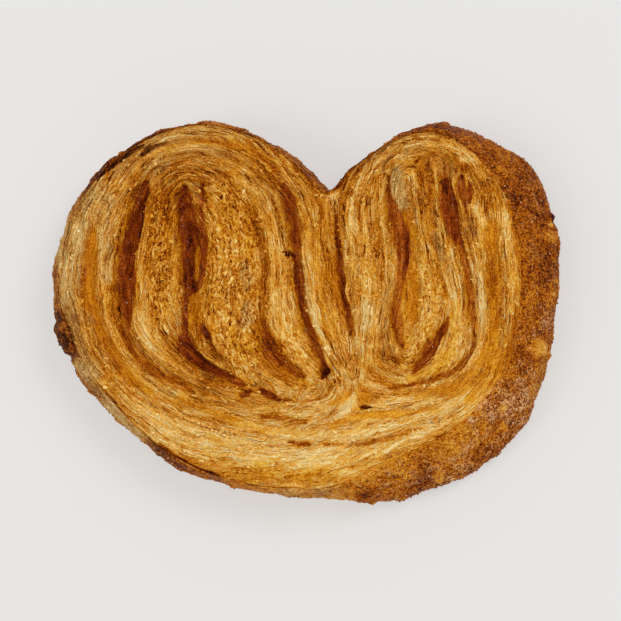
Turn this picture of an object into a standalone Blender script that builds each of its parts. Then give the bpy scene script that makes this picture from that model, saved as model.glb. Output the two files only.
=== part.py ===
"""Palmier: one sugared sheet of puff pastry, rolled in from both ends, sliced across and baked.

The slice lies on its lower cut face, +Z up, with the notch between its two lobes towards +Y.
Both cut faces show the seams of the two rolls, and the crust round them spreads out below
the upper face. All of it is one solid.
"""
import math

import bmesh
import bpy
import numpy as np
from mathutils import Vector
from mathutils.geometry import delaunay_2d_cdt

# ---------------------------------------------------------------- driving dimensions, metres
LENGTH = 0.124            # over both lobes, along X
WIDTH = 0.0921            # from the bottom of the heart to the top of the lobes, along Y
LEAN = -0.023             # shift along X for each unit along Y: the heart leans a little
HEIGHT = 0.020            # thickness of the baked slice at its highest fold
RIM_DROP = 0.0024         # how far the edge of the upper face lies below the highest fold
FOLD_SWELL = 0.0011       # how far a fold rises between its two seams
SWELL_REACH = 0.0055      # distance from a seam at which a fold is at its full height
CRUST_WAVE = 0.0004       # lumps of the crust, in and out
UNDERSIDE_GROOVE = 0.45   # seams are shallower in the face that lay on the baking tray
FLAT_MARGIN = 0.0004      # shallower than this, the underside has been pressed flat

# ---------------------------------------------------------------- mesh fineness
EDGE_STEPS = 6            # points on the rim between two of its guide points
SEAM_STEP = 0.0024        # spacing of points along a seam
FLANK = 0.55              # rows beside a seam, as a share of its half width
TOP_PITCH = 0.0026        # spacing of the points between the seams, upper face
UNDER_PITCH = 0.0036      # the same, underside
RIM_CLEARANCE = 0.6       # points keep this share of the pitch from the rim and from seams

MM = 0.001

# Edge of the upper face, clockwise from the notch: x, y and how far the crust spreads out
# below that point, all in mm before the whole is brought to LENGTH and WIDTH.
EDGE = (
    (4.2, 28.6, 0.5), (10.6, 34.3, 1.2), (19.8, 40.4, 3.0), (29.5, 42.8, 3.6),
    (38.0, 38.6, 4.8), (44.4, 31.2, 7.6), (48.6, 22.6, 6.4), (50.4, 11.6, 6.0),
    (49.6, -0.8, 5.6), (47.4, -12.0, 5.6), (42.6, -19.6, 7.2), (34.2, -27.6, 8.0),
    (24.0, -33.2, 7.4), (12.0, -38.8, 5.4), (3.0, -41.6, 1.2), (-12.0, -41.0, 0.8),
    (-29.0, -36.0, 2.2), (-42.8, -25.8, 3.6), (-53.8, -12.8, 4.2), (-59.6, 1.2, 4.4),
    (-59.6, 14.2, 4.2), (-54.3, 28.1, 4.0), (-43.4, 39.2, 3.6), (-28.0, 45.0, 2.4),
    (-14.0, 42.4, 1.1), (-3.8, 36.1, 0.5),
)

# Profile of the crust from the tray to the upper face: share of the height up to the rim,
# and share of the spread.
CRUST_PROFILE = ((0.0, 0.66), (0.07, 0.92), (0.22, 1.0), (0.45, 0.88), (0.68, 0.60), (0.88, 0.27))

# Seams between the folds: depth of the groove, half its width, and guide points, all in mm.
SEAMS = {
    "meeting_line": (3.2, 1.7, (
        (5.6, 25.5), (6.2, 20.0), (7.6, 13.0), (8.9, 4.0), (9.6, -4.0), (10.1, -12.0), (11.0, -20.6))),
    "left_roll": (2.6, 2.1, (
        (6.5, -24.4), (-3.0, -25.8), (-13.0, -24.3), (-22.0, -20.3), (-31.0, -15.3), (-39.0, -10.5),
        (-43.5, -4.0), (-44.6, 5.0), (-43.6, 15.0), (-41.2, 25.0), (-38.0, 32.0), (-31.0, 36.6),
        (-22.0, 36.6), (-12.5, 32.6), (-6.0, 27.0), (-3.6, 20.0), (-2.6, 10.0), (-1.4, 0.0),
        (1.4, -7.5), (4.2, -13.6))),
    "left_core": (2.2, 2.4, (
        (2.0, -19.8), (-5.0, -20.8), (-12.0, -17.6), (-21.0, -13.0), (-27.0, -8.0), (-28.6, 2.0),
        (-28.0, 13.0), (-29.6, 22.0), (-29.8, 29.5))),
    "left_turn": (1.3, 1.7, (
        (-14.4, 26.0), (-11.0, 15.0), (-10.8, 6.0), (-11.2, -3.5), (-8.6, -11.0), (-3.2, -15.2))),
    "right_turn": (2.3, 2.0, (
        (15.0, -15.4), (22.0, -18.0), (30.6, -16.4), (37.0, -12.0), (39.8, -5.0), (39.6, 4.0),
        (38.0, 12.0), (35.6, 19.5), (34.0, 27.0), (33.4, 33.0))),
    "right_roll": (1.8, 1.7, (
        (18.2, 33.0), (18.9, 24.0), (19.8, 15.0), (19.4, 6.0), (17.0, -3.0), (18.6, -9.6),
        (23.0, -13.4), (27.4, -11.6), (31.0, -6.4), (32.4, 0.0))),
    "right_core": (1.9, 1.7, ((24.0, 29.0), (24.2, 20.0), (25.0, 11.0), (25.4, 3.0), (23.6, -4.0))),
    "lower_band": (1.2, 1.6, (
        (-36.0, -20.6), (-20.0, -28.0), (-4.0, -31.2), (10.0, -30.8), (22.0, -28.2), (34.0, -23.2))),
    "outer_left": (1.0, 1.6, (
        (-41.0, -17.5), (-48.0, -8.0), (-51.8, 3.0), (-52.4, 14.0), (-49.6, 24.0), (-43.0, 32.6))),
}

# The oven-browned crust and the layers between, as one baked colour.
BAKED_COLOUR = (0.42, 0.16, 0.026, 1.0)
BAKED_ROUGHNESS = 0.55


def clear_scene():
    for item in list(bpy.data.objects):
        bpy.data.objects.remove(item, do_unlink=True)


def smooth_curve(guide, steps, closed=False):
    """Points of a Catmull-Rom curve through the guide points."""
    points = np.array(guide, dtype=float)
    if closed:
        padded = np.vstack([points[-1:], points, points[:2]])
    else:
        before = 2 * points[0] - points[1]
        after = 2 * points[-1] - points[-2]
        padded = np.vstack([before, points, after])
    t = np.linspace(0.0, 1.0, steps, endpoint=False)[:, None]
    pieces = []
    for a, b, c, d in zip(padded, padded[1:], padded[2:], padded[3:]):
        linear = c - a
        square = 2 * a - 5 * b + 4 * c - d
        cube = 3 * b - a - 3 * c + d
        pieces.append(0.5 * (2 * b + linear * t + square * t**2 + cube * t**3))
    if not closed:
        pieces.append(points[-1:])
    return np.vstack(pieces)


def outward_normals(loop):
    """Unit normals of a closed clockwise loop, pointing away from its inside."""
    along = np.roll(loop, -1, axis=0) - np.roll(loop, 1, axis=0)
    along /= np.linalg.norm(along, axis=1)[:, None]
    return np.stack([-along[:, 1], along[:, 0]], axis=1)


def even_spacing(curve, spacing):
    """The same curve with points at equal steps of about the given spacing."""
    lengths = np.linalg.norm(np.diff(curve, axis=0), axis=1)
    travelled = np.concatenate([[0.0], np.cumsum(lengths)])
    count = max(2, int(round(travelled[-1] / spacing)) + 1)
    stations = np.linspace(0.0, travelled[-1], count)
    return np.stack([np.interp(stations, travelled, curve[:, axis]) for axis in (0, 1)], axis=1)


def distance_to_line(points, line):
    """Distance of every point to the nearest spot on an open line."""
    nearest = np.full(len(points), np.inf)
    for start, end in zip(line, line[1:]):
        along = end - start
        share = np.clip((points - start) @ along / (along @ along), 0.0, 1.0)
        foot = start + share[:, None] * along
        nearest = np.minimum(nearest, np.linalg.norm(points - foot, axis=1))
    return nearest


def inside_loop(points, loop):
    """True for each point that lies inside the closed loop (ray crossing count)."""
    ends = np.roll(loop, -1, axis=0)
    inside = np.zeros(len(points), dtype=bool)
    for (x0, y0), (x1, y1) in zip(loop, ends):
        straddles = (y0 > points[:, 1]) != (y1 > points[:, 1])
        rise = y1 - y0 if y1 != y0 else 1.0
        crossing = x0 + (points[:, 1] - y0) * (x1 - x0) / rise
        inside ^= straddles & (points[:, 0] < crossing)
    return inside


def leaned(points):
    return np.stack([points[:, 0] + LEAN * points[:, 1], points[:, 1]], axis=1)


class Plan:
    """The slice seen from above: rim, crust and seams, brought to the driving sizes."""

    def __init__(self):
        guide = smooth_curve(EDGE, EDGE_STEPS, closed=True)
        rim = guide[:, :2] * MM
        out = outward_normals(rim)
        angle = np.linspace(0.0, 2 * math.pi, len(rim), endpoint=False)
        lumps = 0.6 * np.sin(9 * angle) + 0.5 * np.sin(16 * angle + 1.3) + 0.5 * np.sin(29 * angle + 0.4)
        self.spread = guide[:, 2] * MM + CRUST_WAVE * lumps * (guide[:, 2] > 2.0)
        widest = leaned(rim + out * self.spread[:, None])
        low, high = widest.min(axis=0), widest.max(axis=0)
        self.scale = np.array([LENGTH, WIDTH]) / (high - low)
        self.centre = (low + high) / 2
        self.guide_rim = rim
        self.rim = self.place(rim)
        self.out = out
        self.seams = []
        for depth, half_width, points in SEAMS.values():
            line = smooth_curve(points, 6) * MM
            spaced = even_spacing(self.place(line), SEAM_STEP)
            self.seams.append((depth * MM, half_width * MM, spaced))

    def place(self, points):
        return (leaned(points) - self.centre) * self.scale

    def crust_ring(self, share):
        """The crust's outline where it has spread by this share of its full spread."""
        return self.place(self.guide_rim + self.out * (self.spread * share)[:, None])

    def seam_rows(self):
        """Lines of mesh points along each seam and on both flanks of its groove."""
        for _, half_width, line in self.seams:
            along = np.gradient(line, axis=0)
            along /= np.linalg.norm(along, axis=1)[:, None]
            across = np.stack([-along[:, 1], along[:, 0]], axis=1)
            for side in (-FLANK, 0.0, FLANK):
                yield line + across * side * half_width

    def groove(self, points):
        """Depth of the seams' grooves at each point."""
        deepest = np.zeros(len(points))
        for depth, half_width, line in self.seams:
            away = distance_to_line(points, line) / half_width
            deepest = np.maximum(deepest, depth * np.exp(-away**2))
        return deepest

    def swell(self, points):
        """Rise of the folds: nothing at a seam or the rim, full height between them."""
        nearest = distance_to_line(points, np.vstack([self.rim, self.rim[:1]]))
        for _, _, line in self.seams:
            nearest = np.minimum(nearest, distance_to_line(points, line))
        share = np.clip(nearest / SWELL_REACH, 0.0, 1.0)
        return FOLD_SWELL * np.sin(share * math.pi / 2)


def upper_height(plan, points):
    """Height of the upper cut face: a rounded rim, folds between grooves."""
    from_rim = distance_to_line(points, np.vstack([plan.rim, plan.rim[:1]]))
    shoulder = 1.0 - np.exp(-from_rim / (0.8 * RIM_DROP))
    height = HEIGHT - RIM_DROP + (RIM_DROP - FOLD_SWELL) * shoulder
    return height + plan.swell(points) - plan.groove(points) * shoulder


def under_height(plan, points):
    """Height of the underside: pressed flat by the tray, with the seams still open."""
    from_rim = distance_to_line(points, np.vstack([plan.rim, plan.rim[:1]]))
    fade = np.clip(from_rim / (2 * RIM_DROP), 0.0, 1.0)
    raised = plan.groove(points) * UNDERSIDE_GROOVE * fade
    return np.where(raised < FLAT_MARGIN, 0.0, raised - FLAT_MARGIN)


def sheet_layout(plan, border, pitch):
    """Triangles that fill the border loop, in line with the seams."""
    rows = [row[inside_loop(row, border)] for row in plan.seam_rows()]
    low, high = border.min(axis=0), border.max(axis=0)
    row_height = pitch * math.sqrt(3) / 2
    fill = []
    for index, y in enumerate(np.arange(low[1], high[1], row_height)):
        shift = pitch / 2 if index % 2 else 0.0
        xs = np.arange(low[0] + shift, high[0], pitch)
        fill.append(np.stack([xs, np.full(len(xs), y)], axis=1))
    fill = np.vstack(fill)
    keep_out = RIM_CLEARANCE * pitch
    closed = np.vstack([border, border[:1]])
    keep = inside_loop(fill, border) & (distance_to_line(fill, closed) > keep_out)
    for row in rows:
        keep &= distance_to_line(fill, row) > keep_out
    rows = [row[distance_to_line(row, closed) > keep_out / 2] for row in rows]
    points = np.vstack([border, *rows, fill[keep]])
    edges = [(i, (i + 1) % len(border)) for i in range(len(border))]
    triangles_inside = 1
    result = delaunay_2d_cdt([Vector(p) for p in points], edges, [], triangles_inside, 1e-6)
    return np.array([tuple(p) for p in result[0]]), result[2]


def add_sheet(mesh, plan, border, pitch, height):
    points, triangles = sheet_layout(plan, border, pitch)
    levels = height(plan, points)
    corners = [mesh.verts.new((x, y, z)) for (x, y), z in zip(points, levels)]
    for triangle in triangles:
        mesh.faces.new([corners[i] for i in triangle])


def add_crust(mesh, plan):
    """The browned outside of the roll, ring by ring from the tray up to the rim."""
    rim_height = upper_height(plan, plan.rim)
    rings = [(plan.crust_ring(spread), share * rim_height) for share, spread in CRUST_PROFILE]
    rings.append((plan.rim, rim_height))
    corners = []
    for outline, levels in rings:
        corners.append([mesh.verts.new((x, y, z)) for (x, y), z in zip(outline, levels)])
    count = len(plan.rim)
    for lower, upper in zip(corners, corners[1:]):
        for i in range(count):
            j = (i + 1) % count
            mesh.faces.new((lower[i], lower[j], upper[j], upper[i]))


def baked_material():
    material = bpy.data.materials.new("baked_pastry")
    material.use_nodes = True
    shader = material.node_tree.nodes["Principled BSDF"]
    shader.inputs["Base Color"].default_value = BAKED_COLOUR
    shader.inputs["Roughness"].default_value = BAKED_ROUGHNESS
    shader.inputs["Metallic"].default_value = 0.0
    return material


def build_palmier():
    plan = Plan()
    mesh = bmesh.new()
    add_sheet(mesh, plan, plan.rim, TOP_PITCH, upper_height)
    add_sheet(mesh, plan, plan.crust_ring(CRUST_PROFILE[0][1]), UNDER_PITCH, under_height)
    add_crust(mesh, plan)
    bmesh.ops.remove_doubles(mesh, verts=mesh.verts, dist=1e-6)
    bmesh.ops.triangulate(mesh, faces=mesh.faces)
    bmesh.ops.recalc_face_normals(mesh, faces=mesh.faces)
    data = bpy.data.meshes.new("palmier")
    mesh.to_mesh(data)
    mesh.free()
    data.shade_smooth()
    data.materials.append(baked_material())
    palmier = bpy.data.objects.new("palmier", data)
    bpy.context.scene.collection.objects.link(palmier)
    return palmier


clear_scene()
build_palmier()
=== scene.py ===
"""Looks of a palmier: the layered cut faces of the rolled dough, its sugared crust, loose flakes,
sugar and caramel. Guide points are in millimetres on the upper cut face, as the baker would chalk
them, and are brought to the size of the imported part.
"""
import math

import bpy
import numpy as np
from mathutils import Matrix, Vector
from mathutils.geometry import delaunay_2d_cdt


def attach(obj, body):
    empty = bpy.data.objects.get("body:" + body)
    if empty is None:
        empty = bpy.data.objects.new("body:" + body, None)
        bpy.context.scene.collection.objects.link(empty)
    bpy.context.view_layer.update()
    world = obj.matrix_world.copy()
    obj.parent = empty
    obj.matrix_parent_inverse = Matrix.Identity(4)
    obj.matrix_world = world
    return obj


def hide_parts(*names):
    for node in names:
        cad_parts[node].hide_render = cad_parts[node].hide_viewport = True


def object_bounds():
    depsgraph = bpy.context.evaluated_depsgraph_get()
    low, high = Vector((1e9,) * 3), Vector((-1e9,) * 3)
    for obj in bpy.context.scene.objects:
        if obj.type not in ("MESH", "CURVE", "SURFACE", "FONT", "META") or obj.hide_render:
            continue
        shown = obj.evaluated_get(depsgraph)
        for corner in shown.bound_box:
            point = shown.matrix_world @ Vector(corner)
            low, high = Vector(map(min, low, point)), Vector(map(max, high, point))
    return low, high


MM = 0.001
NODE = "palmier"
BODY = "root"

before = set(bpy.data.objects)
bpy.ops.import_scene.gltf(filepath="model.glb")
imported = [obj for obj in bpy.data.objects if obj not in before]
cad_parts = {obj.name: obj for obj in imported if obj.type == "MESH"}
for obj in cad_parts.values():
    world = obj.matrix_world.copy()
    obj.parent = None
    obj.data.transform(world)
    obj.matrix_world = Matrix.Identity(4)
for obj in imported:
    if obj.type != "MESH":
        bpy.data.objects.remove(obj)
cad_low, cad_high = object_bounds()

# ------------------------------------------------------------------ the slice, as built
# Edge of the upper face, clockwise from the notch: x, y and how far the crust spreads below it.
EDGE = (
    (4.2, 28.6, 0.5), (10.6, 34.3, 1.2), (19.8, 40.4, 3), (29.5, 42.8, 3.6), (38, 38.6, 4.8),
    (44.4, 31.2, 7.6), (48.6, 22.6, 6.4), (50.4, 11.6, 6), (49.6, -0.8, 5.6), (47.4, -12, 5.6),
    (42.6, -19.6, 7.2), (34.2, -27.6, 8), (24, -33.2, 7.4), (12, -38.8, 5.4), (3, -41.6, 1.2),
    (-12, -41, 0.8), (-29, -36, 2.2), (-42.8, -25.8, 3.6), (-53.8, -12.8, 4.2), (-59.6, 1.2, 4.4),
    (-59.6, 14.2, 4.2), (-54.3, 28.1, 4), (-43.4, 39.2, 3.6), (-28, 45, 2.4), (-14, 42.4, 1.1),
    (-3.8, 36.1, 0.5),
)
# Profile of the crust, tray to rim: share of the rim's height, and share of the spread.
CRUST_PROFILE = (
    (0, 0.66), (0.07, 0.92), (0.22, 1), (0.45, 0.88), (0.68, 0.6), (0.88, 0.27), (1, 0),
)
RIM_DROP = 2.4            # mm that the rim lies below the highest fold
FOLD_SWELL = 1.1          # mm that a fold rises between its seams
SWELL_REACH = 5.5         # mm from a seam to the top of its fold
HEIGHT = (cad_high.z - cad_low.z) / MM
LEAN = -0.023             # mm along X for each mm along Y: the heart leans a little

# Seams between folds: depth of the groove, half its width, guide points.
SEAMS = {
    "meeting_line": (1, 1.2, ((6, 25.5), (6.4, 20), (7.5, 13), (8.5, 6), (9.4, 0), (9.9, -5))),
    "meeting_foot": (0.5, 1.2, ((9.9, -5), (10.3, -12), (11, -20.6))),
    "left_roll": (1.2, 2.2, ((6.5, -24.4), (-3, -25.8), (-13, -24.3), (-22, -20.3), (-31, -15.3),
        (-39, -10.5), (-43.5, -4), (-44.6, 5), (-43.6, 15), (-41.2, 25), (-38, 32), (-31, 36.6),
        (-22, 36.6), (-12.5, 32.6), (-6, 27), (-3.6, 20), (-2.6, 10), (-1.4, 0), (1.4, -7.5),
        (4.2, -13.6))),
    "left_core": (1.2, 2.6, ((2, -19.8), (-5, -20.8), (-12, -17.6), (-21, -13), (-27, -8),
        (-28.6, 2), (-28, 13), (-29.6, 22), (-29.8, 29.5))),
    "left_turn": (0.7, 1.8, ((-14.4, 26), (-11, 15), (-10.8, 6), (-11.2, -3.5), (-8.6, -11),
        (-3.2, -15.2))),
    "right_turn": (1.3, 2, ((15, -15.4), (22, -18), (30.6, -16.4), (37, -12), (39.8, -5), (39.6, 4),
        (38, 12), (35.6, 19.5), (34, 27), (33.4, 33))),
    "right_roll": (1.1, 1.8, ((18.2, 33), (18.9, 24), (19.8, 15), (19.4, 6), (17, -3), (18.6, -9.6),
        (23, -13.4), (27.4, -11.6), (31, -6.4), (32.4, 0))),
    "right_core": (1, 1.8, ((24, 29), (24.2, 20), (25, 11), (25.4, 3), (23.6, -4))),
    "lower_band": (0.6, 1.6, ((-36, -20.6), (-20, -28), (-4, -31.2), (10, -30.8), (22, -28.2),
        (34, -23.2))),
    "outer_left": (0.5, 1.6, ((-41, -17.5), (-48, -8), (-51.8, 3), (-52.4, 14), (-49.6, 24),
        (-43, 32.6))),
}
# Further lines that the dough layers run along, besides the seams and the rim.
RUNS = (
    ((8.2, -14), (5.6, -5), (3.6, 4), (2.4, 14), (-0.2, 24), (-5, 31), (-14, 37.2), (-24, 40.4),
     (-34, 39.4), (-43, 32.6)),
    ((-41, -17.5), (-30, -25.5), (-16, -30), (-2, -31.4), (12, -30.6), (25, -27.8), (36, -24.3),
     (43, -17.5), (45, -9), (44.3, 3), (44.8, 16), (44.4, 26), (40, 34), (33, 38.8), (25, 38),
     (17.6, 33.8), (13, 27), (11.6, 18), (12, 8), (12.6, 0), (13.5, -8)),
    ((-10.8, 15), (-14, 25), (-20, 31.3), (-27.5, 33.6), (-33.5, 31.5), (-35.6, 24), (-35.8, 13),
     (-36.6, 4), (-34, -5), (-27, -12.6), (-17, -18.6), (-6, -22.6), (4, -22)),
    ((43.8, 30), (41.6, 22), (41.4, 12), (42.2, 2), (42, -6), (38, -13.6), (30, -18.6), (20, -20.4),
     (12, -19.6)),
    ((16, 34), (14.8, 25), (15.2, 14), (15.8, 4), (14.6, -4), (15.2, -11), (20, -15.8)),
    ((28.8, 34), (28.8, 24), (29.8, 14), (31.6, 5)),
    ((-43, -22.4), (-34, -28), (-20, -32.4), (-4, -34.6), (10, -33.6), (22, -31), (33, -27.5),
     (42, -21.5)),
    ((4.4, -22.6), (8, -20.4), (9.6, -17.6)),
)
# Middles of the two rolls, which the layers wind round, and the line where the rolls meet: y, x.
LEFT_CORE = (
    (-29.8, 30), (-28, 13), (-28.6, 2), (-26, -8), (-20, -13.4), (-12, -17.4),
)
RIGHT_CORE = (
    (23.6, 31), (24.2, 20), (25, 11), (25.2, 2), (23.4, -6),
)
MEETING_X = (
    (-60, 11), (-20.6, 11), (-12, 10.1), (-4, 9.6), (4, 8.9), (13, 7.6), (20, 6.2), (27, 5.2),
    (60, 5.2),
)
GUIDE_STEPS = 6           # points of a curve from one guide point to the next
LEAF_STRIDE = 7.31        # step through the noise from a leaf to its neighbour: they don't match


# ------------------------------------------------------------------ curves and distances
def smoothstep(low, high, value):
    share = np.clip((value - low) / (high - low), 0.0, 1.0)
    return share * share * (3 - 2 * share)


def capped(value):
    return np.clip(value, 0.0, 1.0)


def unit(vectors, guard=0.0):
    """The vectors at length 1; a small guard spares those that have no length."""
    return vectors / (np.linalg.norm(vectors, axis=-1, keepdims=True) + guard)


def closed(loop):
    return np.vstack([loop, loop[:1]])


def smooth_curve(guide, steps=GUIDE_STEPS, around=False):
    """Points of a Catmull-Rom curve through the guide points, open or all the way around."""
    points = np.array(guide, dtype=float)
    if around:
        padded = np.vstack([points[-1:], points, points[:2]])
    else:
        padded = np.vstack([2 * points[0] - points[1], points, 2 * points[-1] - points[-2]])
    t = np.linspace(0.0, 1.0, steps, endpoint=False)[:, None]
    pieces = []
    for a, b, c, d in zip(padded, padded[1:], padded[2:], padded[3:]):
        square = 2 * a - 5 * b + 4 * c - d
        cube = 3 * b - a - 3 * c + d
        pieces.append(0.5 * (2 * b + (c - a) * t + square * t**2 + cube * t**3))
    if not around:
        pieces.append(points[-1:])
    return np.vstack(pieces)


def even_spacing(curve, spacing):
    """The same curve with points about a spacing apart; columns after x and y go along."""
    lengths = np.linalg.norm(np.diff(curve[:, :2], axis=0), axis=1)
    travelled = np.concatenate([[0.0], np.cumsum(lengths)])
    count = max(2, int(round(travelled[-1] / spacing)) + 1)
    stations = np.linspace(0.0, travelled[-1], count)
    columns = [np.interp(stations, travelled, curve[:, axis]) for axis in range(curve.shape[1])]
    return np.stack(columns, axis=1)


def to_line(points, line):
    """Distance of each point to an open line, and the line's further columns at that spot."""
    nearest = np.full(len(points), np.inf)
    extra = np.zeros((len(points), line.shape[1] - 2))
    for start, end in zip(line, line[1:]):
        along = end[:2] - start[:2]
        share = np.clip((points - start[:2]) @ along / (along @ along + 1e-12), 0.0, 1.0)
        away = np.hypot(points[:, 0] - start[0] - share * along[0],
                        points[:, 1] - start[1] - share * along[1])
        closer = away < nearest
        nearest[closer] = away[closer]
        if extra.shape[1]:
            extra[closer] = start[2:] + share[closer, None] * (end[2:] - start[2:])
    return nearest, extra


FAR_AWAY = 1e3


def near_line(points, line, reach):
    """Like to_line, but looks only at the points within reach of the line's box."""
    low = line[:, :2].min(axis=0) - reach
    high = line[:, :2].max(axis=0) + reach
    inside = np.all((points > low) & (points < high), axis=1)
    nearest = np.full(len(points), FAR_AWAY)
    extra = np.ones((len(points), max(1, line.shape[1] - 2)))
    if inside.any():
        away, more = to_line(points[inside], line)
        nearest[inside] = away
        if more.shape[1]:
            extra[inside] = more
    return nearest, extra


def inside_loop(points, loop):
    ends = np.roll(loop, -1, axis=0)
    inside = np.zeros(len(points), dtype=bool)
    for (x0, y0), (x1, y1) in zip(loop, ends):
        if y0 == y1:
            continue
        straddles = (y0 > points[:, 1]) != (y1 > points[:, 1])
        inside ^= straddles & (points[:, 0] < x0 + (points[:, 1] - y0) * (x1 - x0) / (y1 - y0))
    return inside


def between_corners(values, i, j, a, b):
    """Mix of the four places of a map round a spot, whose shares across them are a and b."""
    return (values[i, j] * (1 - a) * (1 - b) + values[i + 1, j] * a * (1 - b)
            + values[i, j + 1] * (1 - a) * b + values[i + 1, j + 1] * a * b)


def pulls(places, spots, softness, parts):
    """A part of the places at a time, with how strongly each spot pulls there."""
    for block in np.array_split(np.arange(len(places)), parts):
        gap = ((places[block, None] - spots[None]) ** 2).sum(axis=-1)
        yield block, 1.0 / (gap + softness) ** 2


class Grain:
    """Smooth repeatable noise, about -1 to 1, in three dimensions (Perlin's)."""

    CELLS = 256
    GAIN = 1.6            # brings the highest values to about 1

    def __init__(self, seed):
        rng = np.random.default_rng(seed)
        self.order = rng.permutation(self.CELLS)
        self.slopes = unit(rng.normal(size=(self.CELLS, 3)))

    def __call__(self, x, y, z):
        place = np.stack(np.broadcast_arrays(x, y, z), axis=-1).astype(float)
        cell = np.floor(place).astype(int)
        part = place - cell
        fade = part**3 * (part * (part * 6 - 15) + 10)
        total = np.zeros(place.shape[:-1])
        for corner in range(8):
            step = np.array([corner & 1, corner >> 1 & 1, corner >> 2 & 1])
            index = 0
            for axis in range(3):
                index = self.order[(cell[..., axis] + step[axis] + index) % self.CELLS]
            pull = np.einsum("...i,...i->...", self.slopes[index], part - step)
            weight = np.prod(np.where(step, fade, 1 - fade), axis=-1)
            total += weight * pull
        return total * self.GAIN


# ------------------------------------------------------------------ how the layers lie
class Layering:
    """Which way the dough layers run, and how far out from the middle of its roll each one is."""

    MARGIN = 4.0          # mm round the rim that the maps take in
    STEP = 0.5            # mm between the places where the layers are worked out
    COARSE = 2            # the direction is found on every second of them
    SPACING = 1.5         # mm between the points of a guide line
    REACH = 1.0           # mm: how soon a guide line gives way to the next one
    BEYOND_RIM = 3.0      # mm past the rim where layers are still counted
    ROUNDS = 700          # the fit of the count takes at most this many rounds,
    CLOSE = 1e-6          # and stops sooner once it is this close

    def __init__(self, rim):
        self.low = rim.min(axis=0) - self.MARGIN
        size = rim.max(axis=0) + self.MARGIN - self.low
        self.shape = tuple((size / self.STEP).astype(int) // self.COARSE * self.COARSE + 1)
        xs = self.low[0] + self.STEP * np.arange(self.shape[0])
        ys = self.low[1] + self.STEP * np.arange(self.shape[1])
        self.spots = np.stack(np.meshgrid(xs, ys, indexing="ij"), axis=-1).reshape(-1, 2)
        self.run = self.directions(closed(rim))
        self.out = self.layer_count(rim)

    def directions(self, loop):
        """Unit vectors along the layers, clockwise round the middle of each roll."""
        lines = [smooth_curve(guide) for _, _, guide in SEAMS.values()]
        lines += [smooth_curve(guide) for guide in RUNS] + [loop]
        places = [even_spacing(line, self.SPACING) for line in lines]
        along = np.vstack([np.gradient(line, axis=0) for line in places])
        angle = 2 * np.arctan2(along[:, 1], along[:, 0])     # doubled: both ways along are one
        doubled = np.stack([np.cos(angle), np.sin(angle)], axis=1)
        grid = self.spots.reshape(*self.shape, 2)[::self.COARSE, ::self.COARSE]
        coarse = grid.reshape(-1, 2)
        blended = np.zeros_like(coarse)
        for block, pull in pulls(coarse, np.vstack(places), self.REACH**2, 24):
            blended[block] = pull @ doubled
        blended = unit(blended, 1e-9).reshape(grid.shape)
        fine = np.stack([self.refine(blended[..., axis]) for axis in (0, 1)], axis=-1)
        angle = 0.5 * np.arctan2(fine[..., 1], fine[..., 0]).reshape(-1)
        run = np.stack([np.cos(angle), np.sin(angle)], axis=1)
        return run * self.winding(run)[:, None]

    def refine(self, coarse):
        """Fills the places between those of a coarser grid."""
        rows = np.arange(self.shape[0])[:, None] / self.COARSE
        columns = np.arange(self.shape[1])[None] / self.COARSE
        i = np.minimum(rows.astype(int), coarse.shape[0] - 2)
        j = np.minimum(columns.astype(int), coarse.shape[1] - 2)
        return between_corners(coarse, i, j, rows - i, columns - j)

    def winding(self, run):
        """+1 where the run already goes clockwise round its roll, -1 where it must turn back."""
        heights, middles = np.array(MEETING_X).T
        left = self.spots[:, 0] < np.interp(self.spots[:, 1], heights, middles)
        sign = np.ones(len(run))
        for mask, core in ((left, LEFT_CORE), (~left, RIGHT_CORE)):
            line = even_spacing(smooth_curve(core), 1.0)
            _, foot = to_line(self.spots[mask], np.hstack([line, line]))
            arm = self.spots[mask] - foot
            turn = arm[:, 0] * run[mask, 1] - arm[:, 1] * run[mask, 0]
            sign[mask] = np.where(turn > 0, -1.0, 1.0)
        return sign

    def layer_count(self, rim):
        """A height map whose slope is 1 across the layers: least squares by conjugate gradients."""
        away, _ = to_line(self.spots, closed(rim))
        keep = (inside_loop(self.spots, rim) | (away < self.BEYOND_RIM)).reshape(self.shape)
        across = np.stack([-self.run[:, 1], self.run[:, 0]], axis=1).reshape(*self.shape, 2)
        in_x = keep[1:] & keep[:-1]
        in_y = keep[:, 1:] & keep[:, :-1]
        rise_x = self.STEP * 0.5 * (across[1:, :, 0] + across[:-1, :, 0]) * in_x
        rise_y = self.STEP * 0.5 * (across[:, 1:, 1] + across[:, :-1, 1]) * in_y

        def gather(step_x, step_y):
            total = np.zeros(self.shape)
            total[1:] += step_x
            total[:-1] -= step_x
            total[:, 1:] += step_y
            total[:, :-1] -= step_y
            return total

        def slope_sum(level):
            return gather((level[1:] - level[:-1]) * in_x, (level[:, 1:] - level[:, :-1]) * in_y)

        level = np.zeros(self.shape)
        rest = gather(rise_x, rise_y)
        heading = rest.copy()
        power = (rest * rest).sum()
        for _ in range(self.ROUNDS):
            pushed = slope_sum(heading)
            stride = power / ((heading * pushed).sum() + 1e-12)
            level += stride * heading
            rest -= stride * pushed
            fresh = (rest * rest).sum()
            if fresh < self.CLOSE:
                break
            heading = rest + fresh / power * heading
            power = fresh
        return level

    def read(self, values, points):
        """Values of a map at the given points, smoothly between its places."""
        spot = (points - self.low) / self.STEP
        i = np.clip(spot[:, 0].astype(int), 0, self.shape[0] - 2)
        j = np.clip(spot[:, 1].astype(int), 0, self.shape[1] - 2)
        a, b = capped(spot[:, 0] - i), capped(spot[:, 1] - j)
        return between_corners(values.reshape(self.shape), i, j, a, b)

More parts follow.
